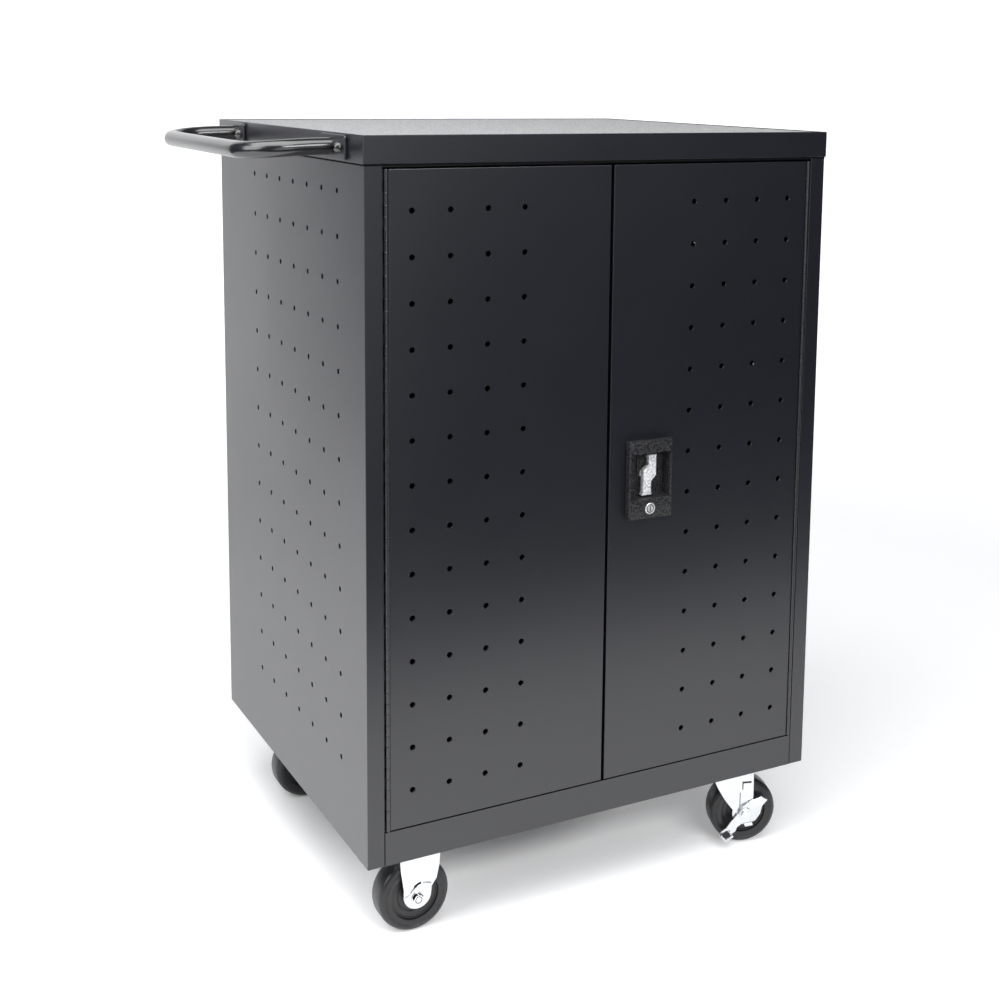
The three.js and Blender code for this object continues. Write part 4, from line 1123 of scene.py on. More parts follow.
@dataclass
class Door:
    """One door: a folded pan with vent holes near its hinge."""

    side: Side
    cabinet: Cabinet
    edge: float = 27.5
    free_edge: float = 302.8
    bottom: float = 41.5
    top: float = 790.5
    fold: float = 20.0
    sheet: float = 1.2
    vent_inset: float = 27.2
    vent_pitch: Point = (45.7, 50.8)
    vent_rise: float = 43.5
    vent_count: tuple[int, int] = (4, 14)
    window: Point3 = (58.6, 3.0, 59.6)
    window_middle: Point3 = (359.0, 0.6, 418.5)
    gate_play: float = 1.2

    def build(self, vents: NodesShape, windows: NodesShape) -> None:
        """Builds the pan and cuts its holes, and the windows of the right door.

        Args:
            vents: the tree that cuts the vent holes.
            windows: the tree that cuts one window.
        """
        body = f"{self.side.value}_door"
        width = self.cabinet.width
        pan = Build()
        span = between(self.side, self.edge, self.free_edge, width)
        pan.pan(span, (0.0, self.fold), (self.bottom, self.top), self.sheet)
        pan.soften(0.55, 3)
        panel = pan.finish(f"{body}_sheet")
        columns, rows = self.vent_count
        inset = self.edge + self.vent_inset + self.vent_pitch[0] * (columns - 1) / 2
        rise = self.bottom + self.vent_rise + self.vent_pitch[1] * (rows - 1) / 2
        middle = at(across(self.side, inset, width), self.sheet / 2, rise)
        radius, flare = self.cabinet.vent_radius, self.cabinet.vent_flare
        radii, turn = (radius + flare, radius - flare), (math.pi / 2, 0.0, 0.0)
        vents.run(panel, vent_values(self.vent_count, self.vent_pitch, radii, turn, middle))
        if self.side is Side.RIGHT:
            self.cut_windows(panel, windows)
        settle(panel, body, COAT, [f"{body}_panel"])

    def cut_windows(self, panel: bpy.types.Object, windows: NodesShape) -> None:
        """Cuts the turn handle's window and a gate for each lock rod.

        Args:
            panel: the door's sheet.
            windows: the tree that cuts one window.
        """
        cuts = [(at(*self.window_middle), self.window)]
        play, deep = self.gate_play, 4.0 * self.sheet
        for node, z in (("upper_lock_rod", self.top), ("lower_lock_rod", self.bottom)):
            low, high = (Vector(corner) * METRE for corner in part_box(node))
            middle = (low + high) / (2.0 * METRE)
            middle.z = at(0.0, 0.0, z).z
            cuts.append((middle, (high.x - low.x + play, high.y - low.y + play, deep)))
        for middle, size in cuts:
            scaled = tuple(v / METRE for v in size)
            windows.run(panel, {"Size": scaled, "Middle": tuple(middle), "Finish": COAT.material()})


@dataclass
class Hinge:
    """A continuous hinge beside a door: two leaves with short knuckles that take turns."""

    side: Side
    cabinet: Cabinet
    axis: float = 24.7
    radius: float = 2.4
    bottom: float = 41.5
    length: float = 749.0
    knuckle: float = 12.695
    seam: float = 0.45
    leaf_sheet: float = 1.2
    leaf_depth: float = 17.0
    leaf_gap: float = 0.4
    frame_leaf: float = 20.8
    door_leaf: float = 26.0

    def build(self, knuckles: NodesShape) -> None:
        """Builds both leaves and dresses the pin.

        Args:
            knuckles: the tree that makes the knuckles.
        """
        self.build_leaf(knuckles, "frame", "cart", self.frame_leaf, 0)
        self.build_leaf(knuckles, "door", f"{self.side.value}_door", self.door_leaf, 1)
        dress(f"{self.side.value}_hinge_pin", ZINC)

    def build_leaf(self, knuckles: NodesShape, name: str, body: str, inset: float, start: int) -> None:
        """Builds one leaf.

        Args:
            knuckles: the tree that makes the knuckles.
            name: "frame" or "door".
            body: the CAD body it rides on.
            inset: the leaf's nearest distance from the cabinet's end.
            start: the first knuckle that belongs to it.
        """
        width = self.cabinet.width
        total = round(self.length / self.knuckle)
        pitch = self.length / total
        turns = range(start, total, 2)
        back = self.radius + self.leaf_gap
        leaf = Build()
        span = between(self.side, inset, inset + self.leaf_sheet, width)
        leaf.box(span, (back, back + self.leaf_depth), (self.bottom, self.bottom + self.length))
        tab = between(self.side, inset if inset < self.axis else inset + self.leaf_sheet, self.axis, width)
        for i in turns:
            low = self.bottom + i * pitch + self.seam / 2
            leaf.box(tab, (self.radius, back + self.leaf_sheet), (low, low + pitch - self.seam))
        piece = leaf.finish(f"{self.side.value}_hinge_{name}_strip")
        first = at(across(self.side, self.axis, width), 0.0, self.bottom + (start + 0.5) * pitch)
        values = {
            "Count": len(turns),
            "Pitch": 2.0 * pitch / METRE,
            "Length": (pitch - self.seam) / METRE,
            "Radius": self.radius / METRE,
            "Start": tuple(first),
            "Finish": COAT.material(),
        }
        knuckles.run(piece, values, smooth=40.0)
        settle(piece, body, COAT, [f"{self.side.value}_hinge_{name}_leaf"])


@dataclass
class TurnHandle:
    """The recessed turn handle on the right door, with its lock and rods."""

    x: float = 359.0
    z: float = 418.5
    bezel: Point = (60.0, 95.5)
    bezel_bottom: float = 366.5
    bezel_back: float = -0.3
    proud: float = 9.5
    recess: Point = (55.0, 56.0)
    floor: float = 9.0
    wall: float = 1.5
    lever_back: float = 7.0
    lever_front: float = -1.0
    lock_z: float = 378.5
    lock_radius: float = 7.0
    lock_ring: float = 8.5
    lock_proud: float = 0.8
    barrel_radius: float = 6.0
    barrel_back: float = 13.0

    def build(self) -> None:
        """Builds the housing, the lever and the lock, and dresses what is behind the door."""
        self.build_housing()
        self.build_lever()
        self.build_lock()
        dress("latch_cam", ZINC)
        for rod in ("upper", "lower"):
            dress(f"{rod}_lock_rod", ZINC, 0.4)
            dress(f"{rod}_rod_guide", ZINC, 0.3)

    def build_housing(self) -> None:
        """Builds the housing: a face with a rectangular well, and the well's outside."""
        housing = Build()
        half, (wide, high) = self.bezel[0] / 2, (self.recess[0] / 2, self.recess[1] / 2)
        low = self.bezel_bottom
        outer = ((self.x - half, low), (self.x + half, low + self.bezel[1]))
        inner = ((self.x - wide, self.z - high), (self.x + wide, self.z + high))

        def ring(corners: tuple[Point, Point], grow: float, y: float) -> list[bmesh.types.BMVert]:
            """Four vertices of a rectangle.

            Args:
                corners: its lower left and upper right corner.
                grow: how far it is grown all round.
                y: its depth.

            Returns:
                The vertices in order.
            """
            (x0, z0), (x1, z1) = corners
            x0, z0, x1, z1 = x0 - grow, z0 - grow, x1 + grow, z1 + grow
            return [housing.mesh.verts.new(at(u, y, v)) for u, v in ((x0, z0), (x1, z0), (x1, z1), (x0, z1))]

        loops = [
            ring(inner, 0.0, self.floor),
            ring(inner, 0.0, -self.proud),
            ring(outer, 0.0, -self.proud),
            ring(outer, 0.0, self.bezel_back),
            ring(inner, self.wall, self.bezel_back),
            ring(inner, self.wall, self.floor + self.wall),
        ]
        housing.bridge(loops)
        housing.mesh.faces.new(loops[0])
        housing.mesh.faces.new(loops[-1][::-1])
        housing.soften(0.9, 3)
        base = (self.x - 9.2, self.x + wide - 0.1)
        housing.box(base, (self.floor - 1.2, self.floor + 0.2), (inner[0][1] + 0.1, inner[1][1] - 0.1))
        settle(housing.finish("turn_handle_housing", 30.0), "right_door", CRINKLE, ["latch_housing"])

    def build_lever(self) -> None:
        """Builds the stepped lever with its round hub."""
        lever = Build()
        outline = [
            (13.1, 24.0), (2.4, 24.0), (2.4, 10.4), (-4.8, 5.2), (-4.8, -21.6), (-6.8, -26.2),
            (7.6, -26.0), (6.4, -22.0), (6.4, -9.6), (13.1, -2.4),
        ]
        lever.prism(shifted(outline, self.x, self.z), Axis.Y, self.lever_front, self.lever_back)
        lever.soften(1.3, 4)
        hub = [(0.4, 0.0), (6.0, 0.0), (6.0, 2.6), (0.4, 2.6)]
        lever.turned(hub, Axis.Y, (self.x, self.lever_back - 0.9, self.z), 32)
        settle(lever.finish("turn_lever", 35.0), "lever", HAMMERED, ["latch_lever"])

    def build_lock(self) -> None:
        """Builds the lock's face, ring and barrel, and a dark plate that paints the keyway's shade."""
        face, r, middle = -self.proud - self.lock_proud, self.lock_radius, (self.x, 0.0, self.lock_z)
        barrel, back = self.barrel_radius, self.barrel_back
        profile = [
            (0.01, back), (barrel, back), (barrel, -6.7), (r, -6.8), (r, face + 0.8), (r - 0.8, face),
            (5.4, face), (5.0, face + 1.2), (4.2, face + 1.2), (3.9, face + 0.2), (0.01, face + 0.2),
        ]
        lock = Build()
        lock.turned(profile, Axis.Y, middle, 48, closed=False)
        lock.box((self.x - 3.0, self.x + 3.0), (back - 2.2, back), (self.lock_z - 11.0, self.lock_z))
        settle(lock.finish("key_lock", 30.0), "lock", CHROME, ["lock_cylinder"])
        ring = Build()
        near, far = r + 0.1, self.lock_ring
        ring.turned([(near, face + 0.6), (far, face + 0.6), (far, 0.0), (near, 0.0)], Axis.Y, middle, 48)
        settle(ring.finish("lock_surround", 30.0), "right_door", PLASTIC)
        # Painted shade: a thin dark plate on the face stands in for the shade inside the key slot.
        key = Build()
        tall = (self.lock_z - 3.2, self.lock_z + 3.2)
        key.box((self.x - 0.7, self.x + 0.7), (face - 0.02, face + 0.4), tall)
        key.soften(0.2)
        settle(key.finish("keyway"), "lock", PLASTIC)


@dataclass
class PushHandle:
    """The bent tube on the lid's left end, with its plates and bolts."""

    radius: float = 9.5
    reach: float = 97.0
    bend: float = 47.0
    drop: float = 5.0
    arms: Point = (84.0, 453.0)
    z: float = 811.4
    plate: Point3 = (3.0, 78.0, 27.0)
    plate_corner: float = 4.0
    plate_back: float = -1.8
    bolt_spread: float = 25.0
    bolt_head: Point = (6.0, 7.5)

    def build(self, tube: NodesShape, bolts: NodesShape) -> None:
        """Builds the tube, the plates and the bolts.

        Args:
            tube: the tree that makes a tube along a path.
            bolts: the tree that makes bolt heads.
        """
        self.build_tube(tube)
        face = self.plate_back - self.plate[0]
        for name, arm in zip(("front", "rear"), self.arms):
            plate = Build()
            outline = round_outline(self.plate[1], self.plate[2], self.plate_corner, (arm, self.z))
            plate.prism(outline, Axis.X, face, self.plate_back)
            plate.soften(0.7, 3)
            settle(plate.finish(f"{name}_grip_plate"), "cart", COAT, [f"{name}_handle_plate"])
        places = [(face - 0.3, arm + way * self.bolt_spread, self.z) for arm in self.arms for way in (-1, 1)]
        heads = bolt_heads("handle_bolts", places, bolts, self.bolt_head, (0.0, -math.pi / 2, 0.0), TUBE)
        settle(heads, "cart", TUBE, [f"handle_bolt_{i}" for i in range(1, 5)])

    def build_tube(self, tube: NodesShape) -> None:
        """Builds the tube along its path.

        Args:
            tube: the tree that makes a tube along a path.
        """
        start = self.plate_back - self.plate[0]
        corner = -self.reach + self.bend
        front, rear = self.arms
        steps = [start + (corner - start) * i / 8 for i in range(8)]
        plan = [(x, front) for x in steps]
        plan += arc((corner, front + self.bend), self.bend, 270.0, 180.0, 24)
        grip = rear - front - 2.0 * self.bend
        plan += [(-self.reach, front + self.bend + grip * i / 16) for i in range(1, 16)]
        plan += arc((corner, rear - self.bend), self.bend, 180.0, 90.0, 24)
        plan += [(x, rear) for x in reversed(steps)]
        path = [(x, y, self.z - self.drop * ((start - x) / (self.reach + start)) ** 2) for x, y in plan]
        piece = points_object("push_tube", path, joined=True)
        tube.run(piece, {"Radius": self.radius / METRE, "Sides": 40, "Finish": TUBE.material()}, smooth=40.0)
        settle(piece, "cart", TUBE, ["handle_tube"])


@dataclass
class Caster:
    """One caster: the parts that rigid and swivel casters share."""

    row: str
    x: float
    y: float
    z: float = -61.5
    wheel_radius: float = 44.0
    wheel_width: float = 32.0
    leg_inner: float = 18.5
    leg_sheet: float = 2.5
    plate: Point3 = (95.0, 62.0, 2.5)
    plate_corner: float = 8.0
    plate_top: float = 5.7
    axle_head: float = 4.2
    axle_nut: float = 5.0
    bolt_inset: Point = (10.0, 9.0)
    bolt_head: Point = (5.5, 3.5)
    prefix: str = "left"

    @property
    def leg_outer(self) -> float:
        """The distance of a leg's outer face from the wheel's middle."""
        return self.leg_inner + self.leg_sheet

    @property
    def axle(self) -> Point3:
        """The wheel's middle."""
        return self.x, self.y, self.z

    def swing(self, build: Build) -> Build:
        """Turns a part to its angle at rest; a rigid caster has none."""
        return build

    def add_slab(self, build: Build, outline: Sequence[Point], front: float, back: float) -> None:
        """Adds a flat shape that faces the front, with its outline given about the axle."""
        build.prism(shifted(outline, self.x, self.z), Axis.Y, front, back)

    def add_slabs(self, build: Build, outline: Sequence[Point], inner: float, outer: float) -> None:
        """Adds a flat shape on both sides of the wheel.

        Args:
            build: the mesh to add to.
            outline: its outline about the axle.
            inner: the distance of its inner face from the wheel's middle.
            outer: the distance of its outer face.
        """
        self.add_slab(build, outline, self.y - outer, self.y - inner)
        self.add_slab(build, outline, self.y + inner, self.y + outer)

    def add_plate(self, build: Build, centre: float) -> None:
        """Adds the mounting plate with round corners."""
        outline = round_outline(self.plate[0], self.plate[1], self.plate_corner, (centre, self.y))
        build.prism(outline, Axis.Z, self.plate_top - self.plate[2], self.plate_top)

    def build_wheel(self) -> None:
        """Builds the wheel: tread, ringed sides, web and hub."""
        r, half = self.wheel_radius, self.wheel_width / 2
        side = [
            (4.5, 18.0), (9.0, 18.0), (10.0, 17.3), (13.0, 15.0), (14.0, 12.2), (19.5, 11.6), (20.0, 12.3),
            (20.8, 12.3), (21.4, 11.6), (27.0, 11.8), (27.6, 12.6), (28.6, 12.8), (29.4, 15.4), (30.6, half),
            (35.6, half), (36.0, 15.5), (36.8, 15.5), (37.2, half - 0.2), (39.4, half - 0.6),
            (42.0, half - 2.2), (43.4, half - 4.4), (r, half - 7.0),
        ]
        wheel = Build()
        wheel.turned(side + [(radius, -along) for radius, along in side[::-1]], Axis.Y, self.axle, 72)
        name = f"{self.row}_{self.prefix}"
        settle(self.swing(wheel).finish(f"{name}_tyre", 32.0), f"{name}_roller", RUBBER, [f"{name}_wheel"])

    def build_axle(self, body: str, front: float) -> None:
        """Builds the axle bolt with its head, washer and nut.

        Args:
            body: the CAD body it rides on.
            front: where its head sits, in front of the wheel's middle.
        """
        axle = Build()
        back = self.leg_outer + 0.3
        rounds = [
            (4.0, -front, back, 24), (7.0, back, back + self.axle_nut, 6),
            (6.6, -front - self.axle_head, -front, 6), (7.8, -front - 1.0, -front, 32),
        ]
        for radius, start, end, sides in rounds:
            profile = [(0.05, start), (radius, start), (radius, end), (0.05, end)]
            axle.turned(profile, Axis.Y, self.axle, sides)
        axle.soften(0.5, 2)
        name = f"{self.row}_{self.prefix}_axle"
        settle(self.swing(axle).finish(f"{name}_bolt", 30.0), body, ZINC, [name])

    def build_plate_bolts(self, bolts: NodesShape, centre: float) -> None:
        """Builds the four mounting bolts under the plate's corners.

        Args:
            bolts: the tree that makes bolt heads.
            centre: the plate's middle along X.
        """
        u, v = self.plate[0] / 2 - self.bolt_inset[0], self.plate[1] / 2 - self.bolt_inset[1]
        low = self.plate_top - self.plate[2]
        places = [(centre + a * u, self.y + b * v, low) for a in (-1, 1) for b in (-1, 1)]
        name = f"{self.row}_{self.prefix}_plate_bolts"
        settle(bolt_heads(name, places, bolts, self.bolt_head, (math.pi, 0.0, 0.0), ZINC), "cart", ZINC)


@dataclass
class RigidCaster(Caster):
    """A caster that rolls straight, under the left end."""

    skew: float = 5.0
    top_width: float = 51.0
    end_centre: Point = (0.9, 3.7)
    end_radius: float = 17.5
    boss_rise: float = 1.1
    boss_centre: Point = (9.0, -2.0)
    boss_radius: float = 19.3

    def build(self, bolts: NodesShape) -> None:
        """Builds the fork, the axle, the wheel and the bolts.

        Args:
            bolts: the tree that makes bolt heads.
        """
        self.build_fork()
        self.build_fold_shades()
        self.build_axle("cart", self.leg_outer + self.boss_rise)
        self.build_wheel()
        self.build_plate_bolts(bolts, self.x + self.skew)

    def build_fork(self) -> None:
        """Builds the legs with the pressed round of their ends, and the mounting plate."""
        top = self.plate_top - self.plate[2] / 2 - self.z
        left, right = self.skew - self.top_width / 2, self.skew + self.top_width / 2
        outline = [(right, top), (left, top), (left + 0.3, 38.0), (-16.4, 13.0)]
        outline += arc(self.end_centre, self.end_radius, 180.0, 360.0, 24)
        outline += [(19.2, 10.5), (25.2, 19.0), (right - 1.5, 36.0)]
        fork = Build()
        self.add_slabs(fork, outline, self.leg_inner, self.leg_outer)
        self.add_plate(fork, self.x + self.skew)
        boss = arc(self.boss_centre, self.boss_radius, 150.0, 62.0, 18)
        boss += arc(self.end_centre, self.end_radius - 0.9, 0.0, -180.0, 24)
        self.add_slabs(fork, boss, self.leg_outer - 0.4, self.leg_outer + self.boss_rise)
        fork.soften(0.8, 3)
        settle(fork.finish(f"{self.row}_left_fork_plate", 30.0), "cart", ZINC, [f"{self.row}_left_fork"])

    def build_fold_shades(self) -> None:
        """Builds painted shade as near-black bands on the front leg's pressed round and on the sides of the
        axle's head.
        """
        marks = Build()
        leg = self.y - self.leg_outer
        head = leg - self.boss_rise - self.axle_head
        # Each band paints the shade of a fold or of a side of the axle's head: centre, radius, width, angles,
        # face, depth.
        bands = [
            (self.boss_centre, self.boss_radius, 2.4, (101.0, 128.0), leg, 0.3),
            (self.boss_centre, self.boss_radius, 0.9, (128.0, 150.0), leg, 0.3),
            ((0.0, 0.0), 5.6, 1.3, (100.0, 165.0), head + 0.5, 3.0),
            ((0.0, 0.0), 5.6, 1.3, (25.0, 75.0), head + 0.5, 3.0),
            ((0.0, 0.0), 3.5, 0.8, (0.0, 355.0), head, 0.3),
        ]
        for centre, inner, width, (start, end), face, deep in bands:
            outline = arc(centre, inner + width, start, end, 24) + arc(centre, inner, end, start, 24)
            self.add_slab(marks, outline, face - 0.08, face + deep)
        settle(marks.finish(f"{self.row}_left_fork_fold_shades"), "cart", SHADE)


@dataclass
class SwivelCaster(Caster):
    """A caster that turns on a ball race and has a side brake, under the right end."""

    prefix: str = "right"
    rest_turn: float = 0.0
    trail: float = 20.0
    leg_end: float = 15.5
    race_radius: float = 26.0
    race_bottom: float = -3.8
    crown_top: float = -4.3
    crown_length: float = 60.0
    crown_corner: float = 6.0
    crown_sheet: float = 2.5
    brake_back: float = 22.0
    brake_sheet: float = 2.5

    @property
    def pivot(self) -> float:
        """The kingpin's place along X."""
        return self.x - self.trail

    @property
    def brake_front(self) -> float:
        """The distance of the brake lever's front face from the wheel's middle."""
        return self.brake_back + self.brake_sheet

    def build(self, bolts: NodesShape) -> None:
        """Builds the plate, the fork, the axle, the wheel, the brake and the bolts.

        Args:
            bolts: the tree that makes bolt heads.
        """
        self.build_race()
        self.build_fork()
        self.build_slot_shades()
        self.build_axle(f"{self.row}_swivel", self.brake_front + 0.3)
        self.build_wheel()
        self.build_brake()
        self.build_plate_bolts(bolts, self.pivot)

    def swing(self, build: Build) -> Build:
        """Turns a part about the kingpin to its angle at rest."""
        build.turn(Axis.Z, (self.pivot, self.y, 0.0), -self.rest_turn)
        return build

    def build_race(self) -> None:
        """Builds the mounting plate with the pressed ball race and the kingpin."""
        plate = Build()
        self.add_plate(plate, self.pivot)
        plate.soften(0.6, 2)
        low, high, r = self.race_bottom, self.plate_top - self.plate[2] + 0.2, self.race_radius
        race = [
            (0.05, high), (r + 3.0, high), (r + 1.0, high - 1.6), (r, high - 3.5),
            (r - 1.0, low), (0.05, low),
        ]
        plate.turned(race, Axis.Z, (self.pivot, self.y, 0.0), 56)
        king = [
            (0.05, low + 1.0), (5.0, low + 1.0), (5.0, -7.1), (9.0, -7.1), (8.2, -9.6), (6.0, -10.1),
            (0.05, -10.1),
        ]
        plate.turned(king, Axis.Z, (self.pivot, self.y, 0.0), 36)
        name = f"{self.row}_right_swivel_plate"
        settle(plate.finish(f"{name}_race", 30.0), "cart", ZINC, [name])

    def build_fork(self) -> None:
        """Builds the crown and the raked legs, with a raised ring about the axle on each."""
        top, half, pivot = self.crown_top, self.crown_length / 2, self.pivot
        left, right, high = pivot - half - self.x, pivot + half - self.x + 1.6, top - self.z
        outline = [(right, high), (left + 7.0, high), (left + 8.0, 47.0), (-35.8, 34.0), (-27.5, 19.5)]
        outline += arc((0.0, 0.0), self.leg_end + 1.0, 165.0, 350.0, 20)
        outline += [(self.leg_end - 1.5, 6.0), (right + 0.6, 14.0)]
        fork = Build()
        self.add_slabs(fork, outline, self.leg_inner, self.leg_outer)
        fork.soften(0.8, 3)
        crown = round_outline(self.crown_length, 2 * self.leg_outer, self.crown_corner, (pivot, self.y))
        fork.prism(crown, Axis.Z, top - self.crown_sheet, top)
        dome = [(5.4, top - 0.4), (24.0, top - 0.4), (22.0, top + 0.3), (5.4, top + 0.3)]
        fork.turned(dome, Axis.Z, (pivot, self.y, 0.0), 48)
        for way in (-1.0, 1.0):
            inner, outer = way * (self.leg_outer - 0.5), way * (self.leg_outer + 1.1)
            fork.turned([(7.9, inner), (8.6, outer), (10.2, outer), (11.2, inner)], Axis.Y, self.axle, 36)
        name = f"{self.row}_right_fork"
        settle(self.swing(fork).finish(f"{name}_legs", 30.0), f"{self.row}_swivel", ZINC, [name])

    def build_slot_shades(self) -> None:
        """Builds painted shade as thin dark plates in the stamped slots of the front leg and in the hollow of
        the pedal.
        """
        slots = Build()
        face = self.y - self.leg_outer
        # Painted shade: thin dark plates on the leg stand in for the shade inside the stamped slots.
        for (x0, x1), (z0, z1) in (
            ((-3.8, 8.6), (40.4, 43.0)), ((-3.8, -2.3), (32.0, 42.0)), ((-7.0, -5.9), (3.5, 28.0)),
        ):
            slots.box((self.x + x0, self.x + x1), (face - 0.06, face + 0.5), (self.z + z0, self.z + z1))
        settle(self.swing(slots).finish(f"{self.row}_right_fork_slot_shades"), f"{self.row}_swivel", PLASTIC)
        # Painted shade: a thin dark plate stands in for the shade in the pedal's hollow.
        hollow = Build()
        corners = [(-32.2, -26.0), (-24.5, -21.6), (-19.8, -26.4), (-27.0, -31.0)]
        front = self.y - self.brake_front
        self.add_slab(hollow, corners, front - 0.12, front + 0.5)
        settle(self.swing(hollow).finish(f"{self.row}_right_pedal_hollow"), f"{self.row}_brake", PLASTIC)

    def build_brake(self) -> None:
        """Builds the brake lever: a plate on the axle with a release tab and a folded pedal."""
        lever = Build()
        outline = [
            (22.0, 22.0), (30.5, 17.0), (23.3, 8.9), (20.8, -1.6), (14.2, -10.6), (7.5, -13.0), (-4.2, -14.0),
            (-10.5, -18.5), (-12.5, -24.0), (-27.0, -33.5), (-35.5, -25.0), (-25.0, -18.0), (-19.0, -9.5),
            (-8.3, 2.0), (-4.2, 10.0), (7.5, 17.0),
        ]
        pedal = [(-27.0, -33.5), (-35.5, -25.0), (-33.7, -23.2), (-25.2, -31.7)]
        lip = [(-17.0, -27.0), (-27.0, -33.5), (-28.3, -31.4), (-18.3, -24.9)]
        tab = [(-2.0, -12.6), (9.0, -11.4), (10.0, -15.0), (-1.0, -16.2)]
        front = self.y - self.brake_front
        self.add_slab(lever, outline, front, front + self.brake_sheet)
        for fold, deep in ((pedal, 9.0), (lip, 8.0), (tab, 4.0)):
            self.add_slab(lever, fold, front - deep, front + 0.4)
        lever.soften(0.7, 3)
        back, rise = 0.4 - self.brake_front, -self.brake_front - 0.7
        lever.turned([(4.4, back), (9.0, back), (8.4, rise), (4.4, rise)], Axis.Y, self.axle, 36)
        name = f"{self.row}_right_brake_lever"
        settle(self.swing(lever).finish(f"{name}_plate", 30.0), f"{self.row}_brake", ZINC, [name])


@dataclass
class Undercarriage:
    """The four casters and where they stand."""

    front_setback: float = 42.0
    rear_setback: float = 113.4
    rigid_inset: float = 69.0
    swivel_inset: float = 71.0
    front_turn: float = 18.0

    def build(self, cabinet: Cabinet, bolts: NodesShape) -> None:
        """Builds a rigid and a swivel caster for each row.

        Args:
            cabinet: the body they carry.
            bolts: the tree that makes bolt heads.
        """
        rear = cabinet.depth - self.rear_setback
        for row, y, turn in (("front", self.front_setback, self.front_turn), ("rear", rear, 0.0)):
            RigidCaster(row, self.rigid_inset, y).build(bolts)
            SwivelCaster(row, cabinet.width - self.swivel_inset, y, rest_turn=turn).build(bolts)


class Interior:
    """What is behind the doors: shelf, partitions, racks, power strips and the catch."""

    def build(self) -> None:
        """Dresses the CAD nodes inside the cabinet."""
        dress("middle_shelf", COAT, 0.4)
        dress("power_inlet", PLASTIC, 0.3)
        dress("left_door_catch", PLASTIC, 0.8)
        dress("left_door_strike", ZINC, 0.3)
        for level in ("lower", "upper"):
            dress(f"{level}_partition", COAT, 0.4)
            dress(f"{level}_divider_rack", PLASTIC, 0.4)
            dress(f"{level}_power_strip", PLASTIC, 0.8)
            dress(f"{level}_rocker_switch", PLASTIC, 0.4)


@dataclass(frozen=True)
class Softbox:
    """A soft rectangular light, in metres and watts."""

    name: str
    place: Point3
    target: Point3
    size: Point
    power: float

    def build(self) -> None:
        """Hangs the light and points it at its target."""
        data = bpy.data.lights.new(self.name, "AREA")
        data.shape = "RECTANGLE"
        data.size, data.size_y = self.size
        data.energy = self.power
        light = add_object(self.name, data)
        light.location = self.place
        light.rotation_euler = (Vector(self.target) - Vector(self.place)).to_track_quat("-Z", "Y").to_euler()


SOFTBOXES = (
    Softbox("overhead_softbox", (-0.7, -0.7, 2.6), (-0.3, -0.3, 0.0), (3.0, 2.0), 94.0),
    Softbox("left_softbox", (-2.2, -0.4, 1.5), (-0.6, -0.1, 0.0), (1.6, 1.6), 34.0),
    Softbox("front_panel", (-0.6, -3.2, 0.55), (-0.6, 0.0, 0.55), (2.4, 1.1), 14.0),
    Softbox("front_softbox", (0.2, -2.5, 1.8), (0.0, -0.3, 0.4), (1.8, 0.45), 36.0),
)


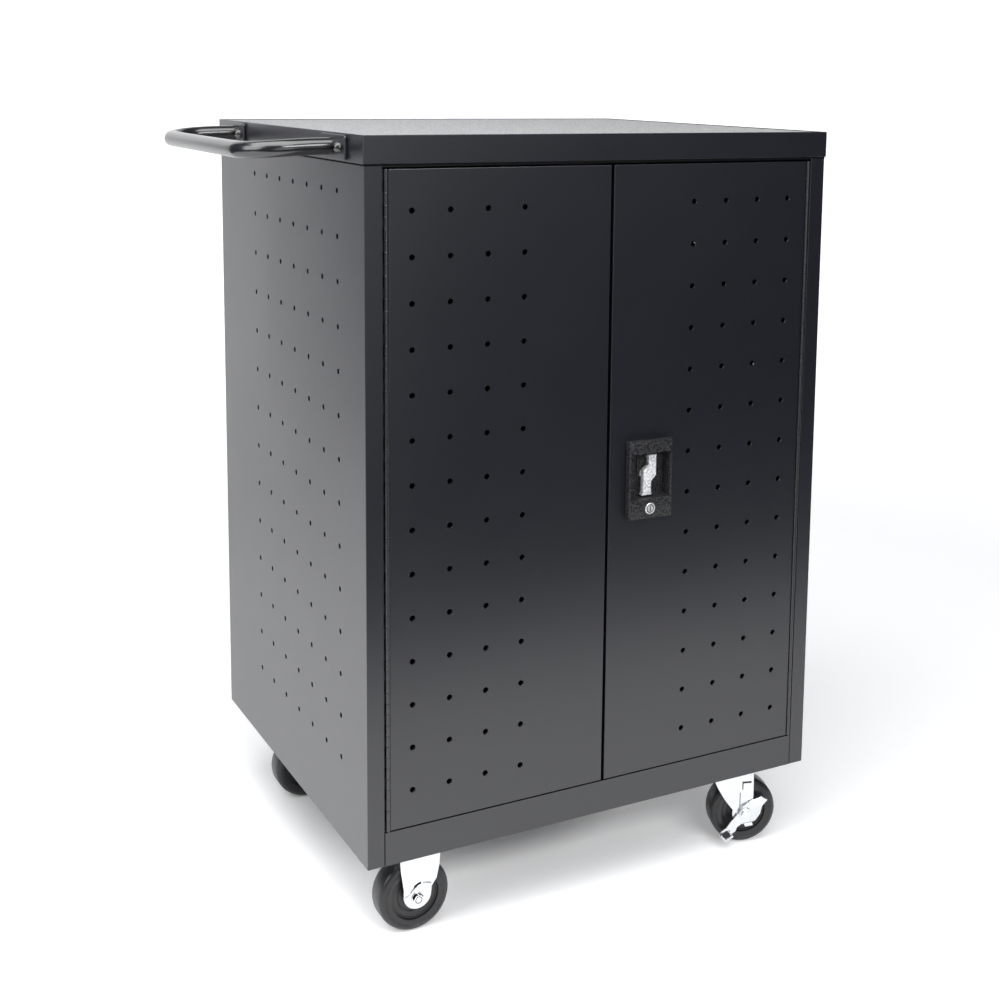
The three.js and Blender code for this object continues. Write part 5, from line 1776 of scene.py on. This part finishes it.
@dataclass
class Studio:
    """The floor, the backdrop, the lights and the camera."""

    camera_place: Point3 = (-580.5, -1501.3, 891.4)
    camera_right: Point3 = (0.8762, -0.4818, 0.0139)
    camera_up: Point3 = (0.0570, 0.1322, 0.9896)
    lens: float = 54.43
    sensor: float = 36.0
    shift: Point = (-0.0691, -0.2054)
    room: tuple[float, float, float, float] = (0.060, 0.069, 0.095, 1.0)
    floor_y: Point = (-1.05, 1.6)
    floor_left: float = -3.0
    backdrop_left: float = -1.22
    sweep_right: float = 6.0
    sweep_bend: float = 1.2
    sweep_steps: int = 12
    sweep_top: float = 4.0
    paper: float = 0.85
    glow_middle: Point3 = (0.0, 0.12, 0.0)
    glow_reach: float = 3.0
    glow_stops: tuple[Point, ...] = ((0.062, 0.03), (0.094, 0.26), (0.17, 0.30), (0.5, 0.38), (1.0, 0.85))

    def build(self) -> None:
        """Builds the whole studio."""
        self.build_camera()
        self.build_sweep()
        self.build_world()
        for softbox in SOFTBOXES:
            softbox.build()

    def build_camera(self) -> None:
        """Places the camera at the photograph's angle."""
        data = bpy.data.cameras.new("camera")
        data.lens = self.lens
        data.sensor_width = self.sensor
        data.shift_x, data.shift_y = self.shift
        camera = add_object("camera", data)
        right = Vector(self.camera_right).normalized()
        up = Vector(self.camera_up)
        up = (up - right * up.dot(right)).normalized()
        basis = Matrix((right, up, right.cross(up))).transposed().to_4x4()
        basis.translation = at(*self.camera_place)
        camera.matrix_world = basis
        bpy.context.scene.camera = camera

    def build_sweep(self) -> None:
        """Builds the pale floor that curves up into the backdrop."""
        sweep = bmesh.new()
        (front, back), bend = self.floor_y, self.sweep_bend
        angles = [math.pi / (2 * self.sweep_steps) * i for i in range(1, self.sweep_steps + 1)]
        profile = [(front, 0.0), (back, 0.0)]
        profile += [(back + bend * math.sin(a), bend - bend * math.cos(a)) for a in angles]
        profile.append((back + bend, self.sweep_top))
        rows = []
        for y, z in profile:
            left = self.floor_left if z == 0.0 else self.backdrop_left
            rows.append([sweep.verts.new((x, y, z)) for x in (left, self.sweep_right)])
        for one, other in zip(rows, rows[1:]):
            sweep.faces.new((one[0], one[1], other[1], other[0]))
        data = bpy.data.meshes.new("studio_sweep")
        sweep.to_mesh(data)
        sweep.free()
        data.shade_smooth()
        data.materials.append(self.sweep_material())
        add_object("studio_sweep", data)

    def sweep_material(self) -> bpy.types.Material:
        """White paper that keeps a soft shadow, with a glow that rises away from the cart.

        Returns:
            The material.
        """
        made = bpy.data.materials.new("white_paper")
        made.use_nodes = True
        tree = NodeTree(made.node_tree)
        paper = tree.feed(tree.node("ShaderNodeBsdfDiffuse"), Color=(self.paper, self.paper, self.paper, 1.0))
        path = tree.node("ShaderNodeLightPath").outputs
        seen = tree.math("MAXIMUM", path["Is Camera Ray"], path["Is Glossy Ray"])
        seen = tree.math("MAXIMUM", seen, path["Is Transmission Ray"])
        strength = tree.math("MULTIPLY", seen, self.glow_level(tree))
        glow = tree.feed(tree.node("ShaderNodeEmission"), Strength=strength)
        both = tree.node("ShaderNodeAddShader")
        tree.give(both.inputs[0], paper.outputs["BSDF"])
        tree.give(both.inputs[1], glow.outputs["Emission"])
        tree.feed(tree.node("ShaderNodeOutputMaterial"), Surface=both.outputs["Shader"])
        return made

    def glow_level(self, tree: NodeTree) -> bpy.types.NodeSocket:
        """The glow's strength by the distance from the cart.

        Args:
            tree: the paper's tree.

        Returns:
            The strength's socket.
        """
        spot = tree.node("ShaderNodeTexCoord").outputs["Object"]
        away = tree.math("SUBTRACT", spot, self.glow_middle, "ShaderNodeVectorMath")
        reach = tree.feed(tree.node("ShaderNodeVectorMath", operation="LENGTH"), Vector=away)
        far = tree.node("ShaderNodeMapRange")
        tree.feed(far, Value=reach.outputs["Value"], From_Max=self.glow_reach)
        ramp = tree.feed(tree.node("ShaderNodeValToRGB"), Fac=far.outputs["Result"])
        stops = ramp.color_ramp.elements
        first, *middle, last = self.glow_stops
        for place, level in middle:
            stops.new(place).color = (level, level, level, 1.0)
        for stop, (place, level) in ((stops[0], first), (stops[-1], last)):
            stop.position, stop.color = place, (level, level, level, 1.0)
        return ramp.outputs["Color"]

    def build_world(self) -> None:
        """Sets a dim grey studio round the sweep, white where the camera sees it."""
        world = bpy.data.worlds.new("studio")
        world.use_nodes = True
        tree = NodeTree(world.node_tree)
        seen = tree.node("ShaderNodeLightPath").outputs["Is Camera Ray"]
        level = tree.mix(seen, self.room, (1.0, 1.0, 1.0, 1.0))
        back = tree.feed(tree.node("ShaderNodeBackground"), Color=level)
        tree.feed(tree.node("ShaderNodeOutputWorld"), Surface=back.outputs["Background"])
        bpy.context.scene.world = world


def main() -> None:
    """Builds the cart's pieces in order, then the studio."""
    logging.basicConfig(level=logging.INFO, format="%(name)s: %(message)s")
    vents, windows, knuckles, bolts = vent_tree(), window_tree(), knuckle_tree(), bolt_tree()
    cabinet = Cabinet()
    cabinet.build(vents)
    for side in Side:
        Door(side, cabinet).build(vents, windows)
        Hinge(side, cabinet).build(knuckles)
    TurnHandle().build()
    PushHandle().build(tube_tree(), bolts)
    Undercarriage().build(cabinet, bolts)
    Interior().build()
    Studio().build()
    bpy.context.scene.view_settings.view_transform = "Standard"


if __name__ == "__main__":
    main()
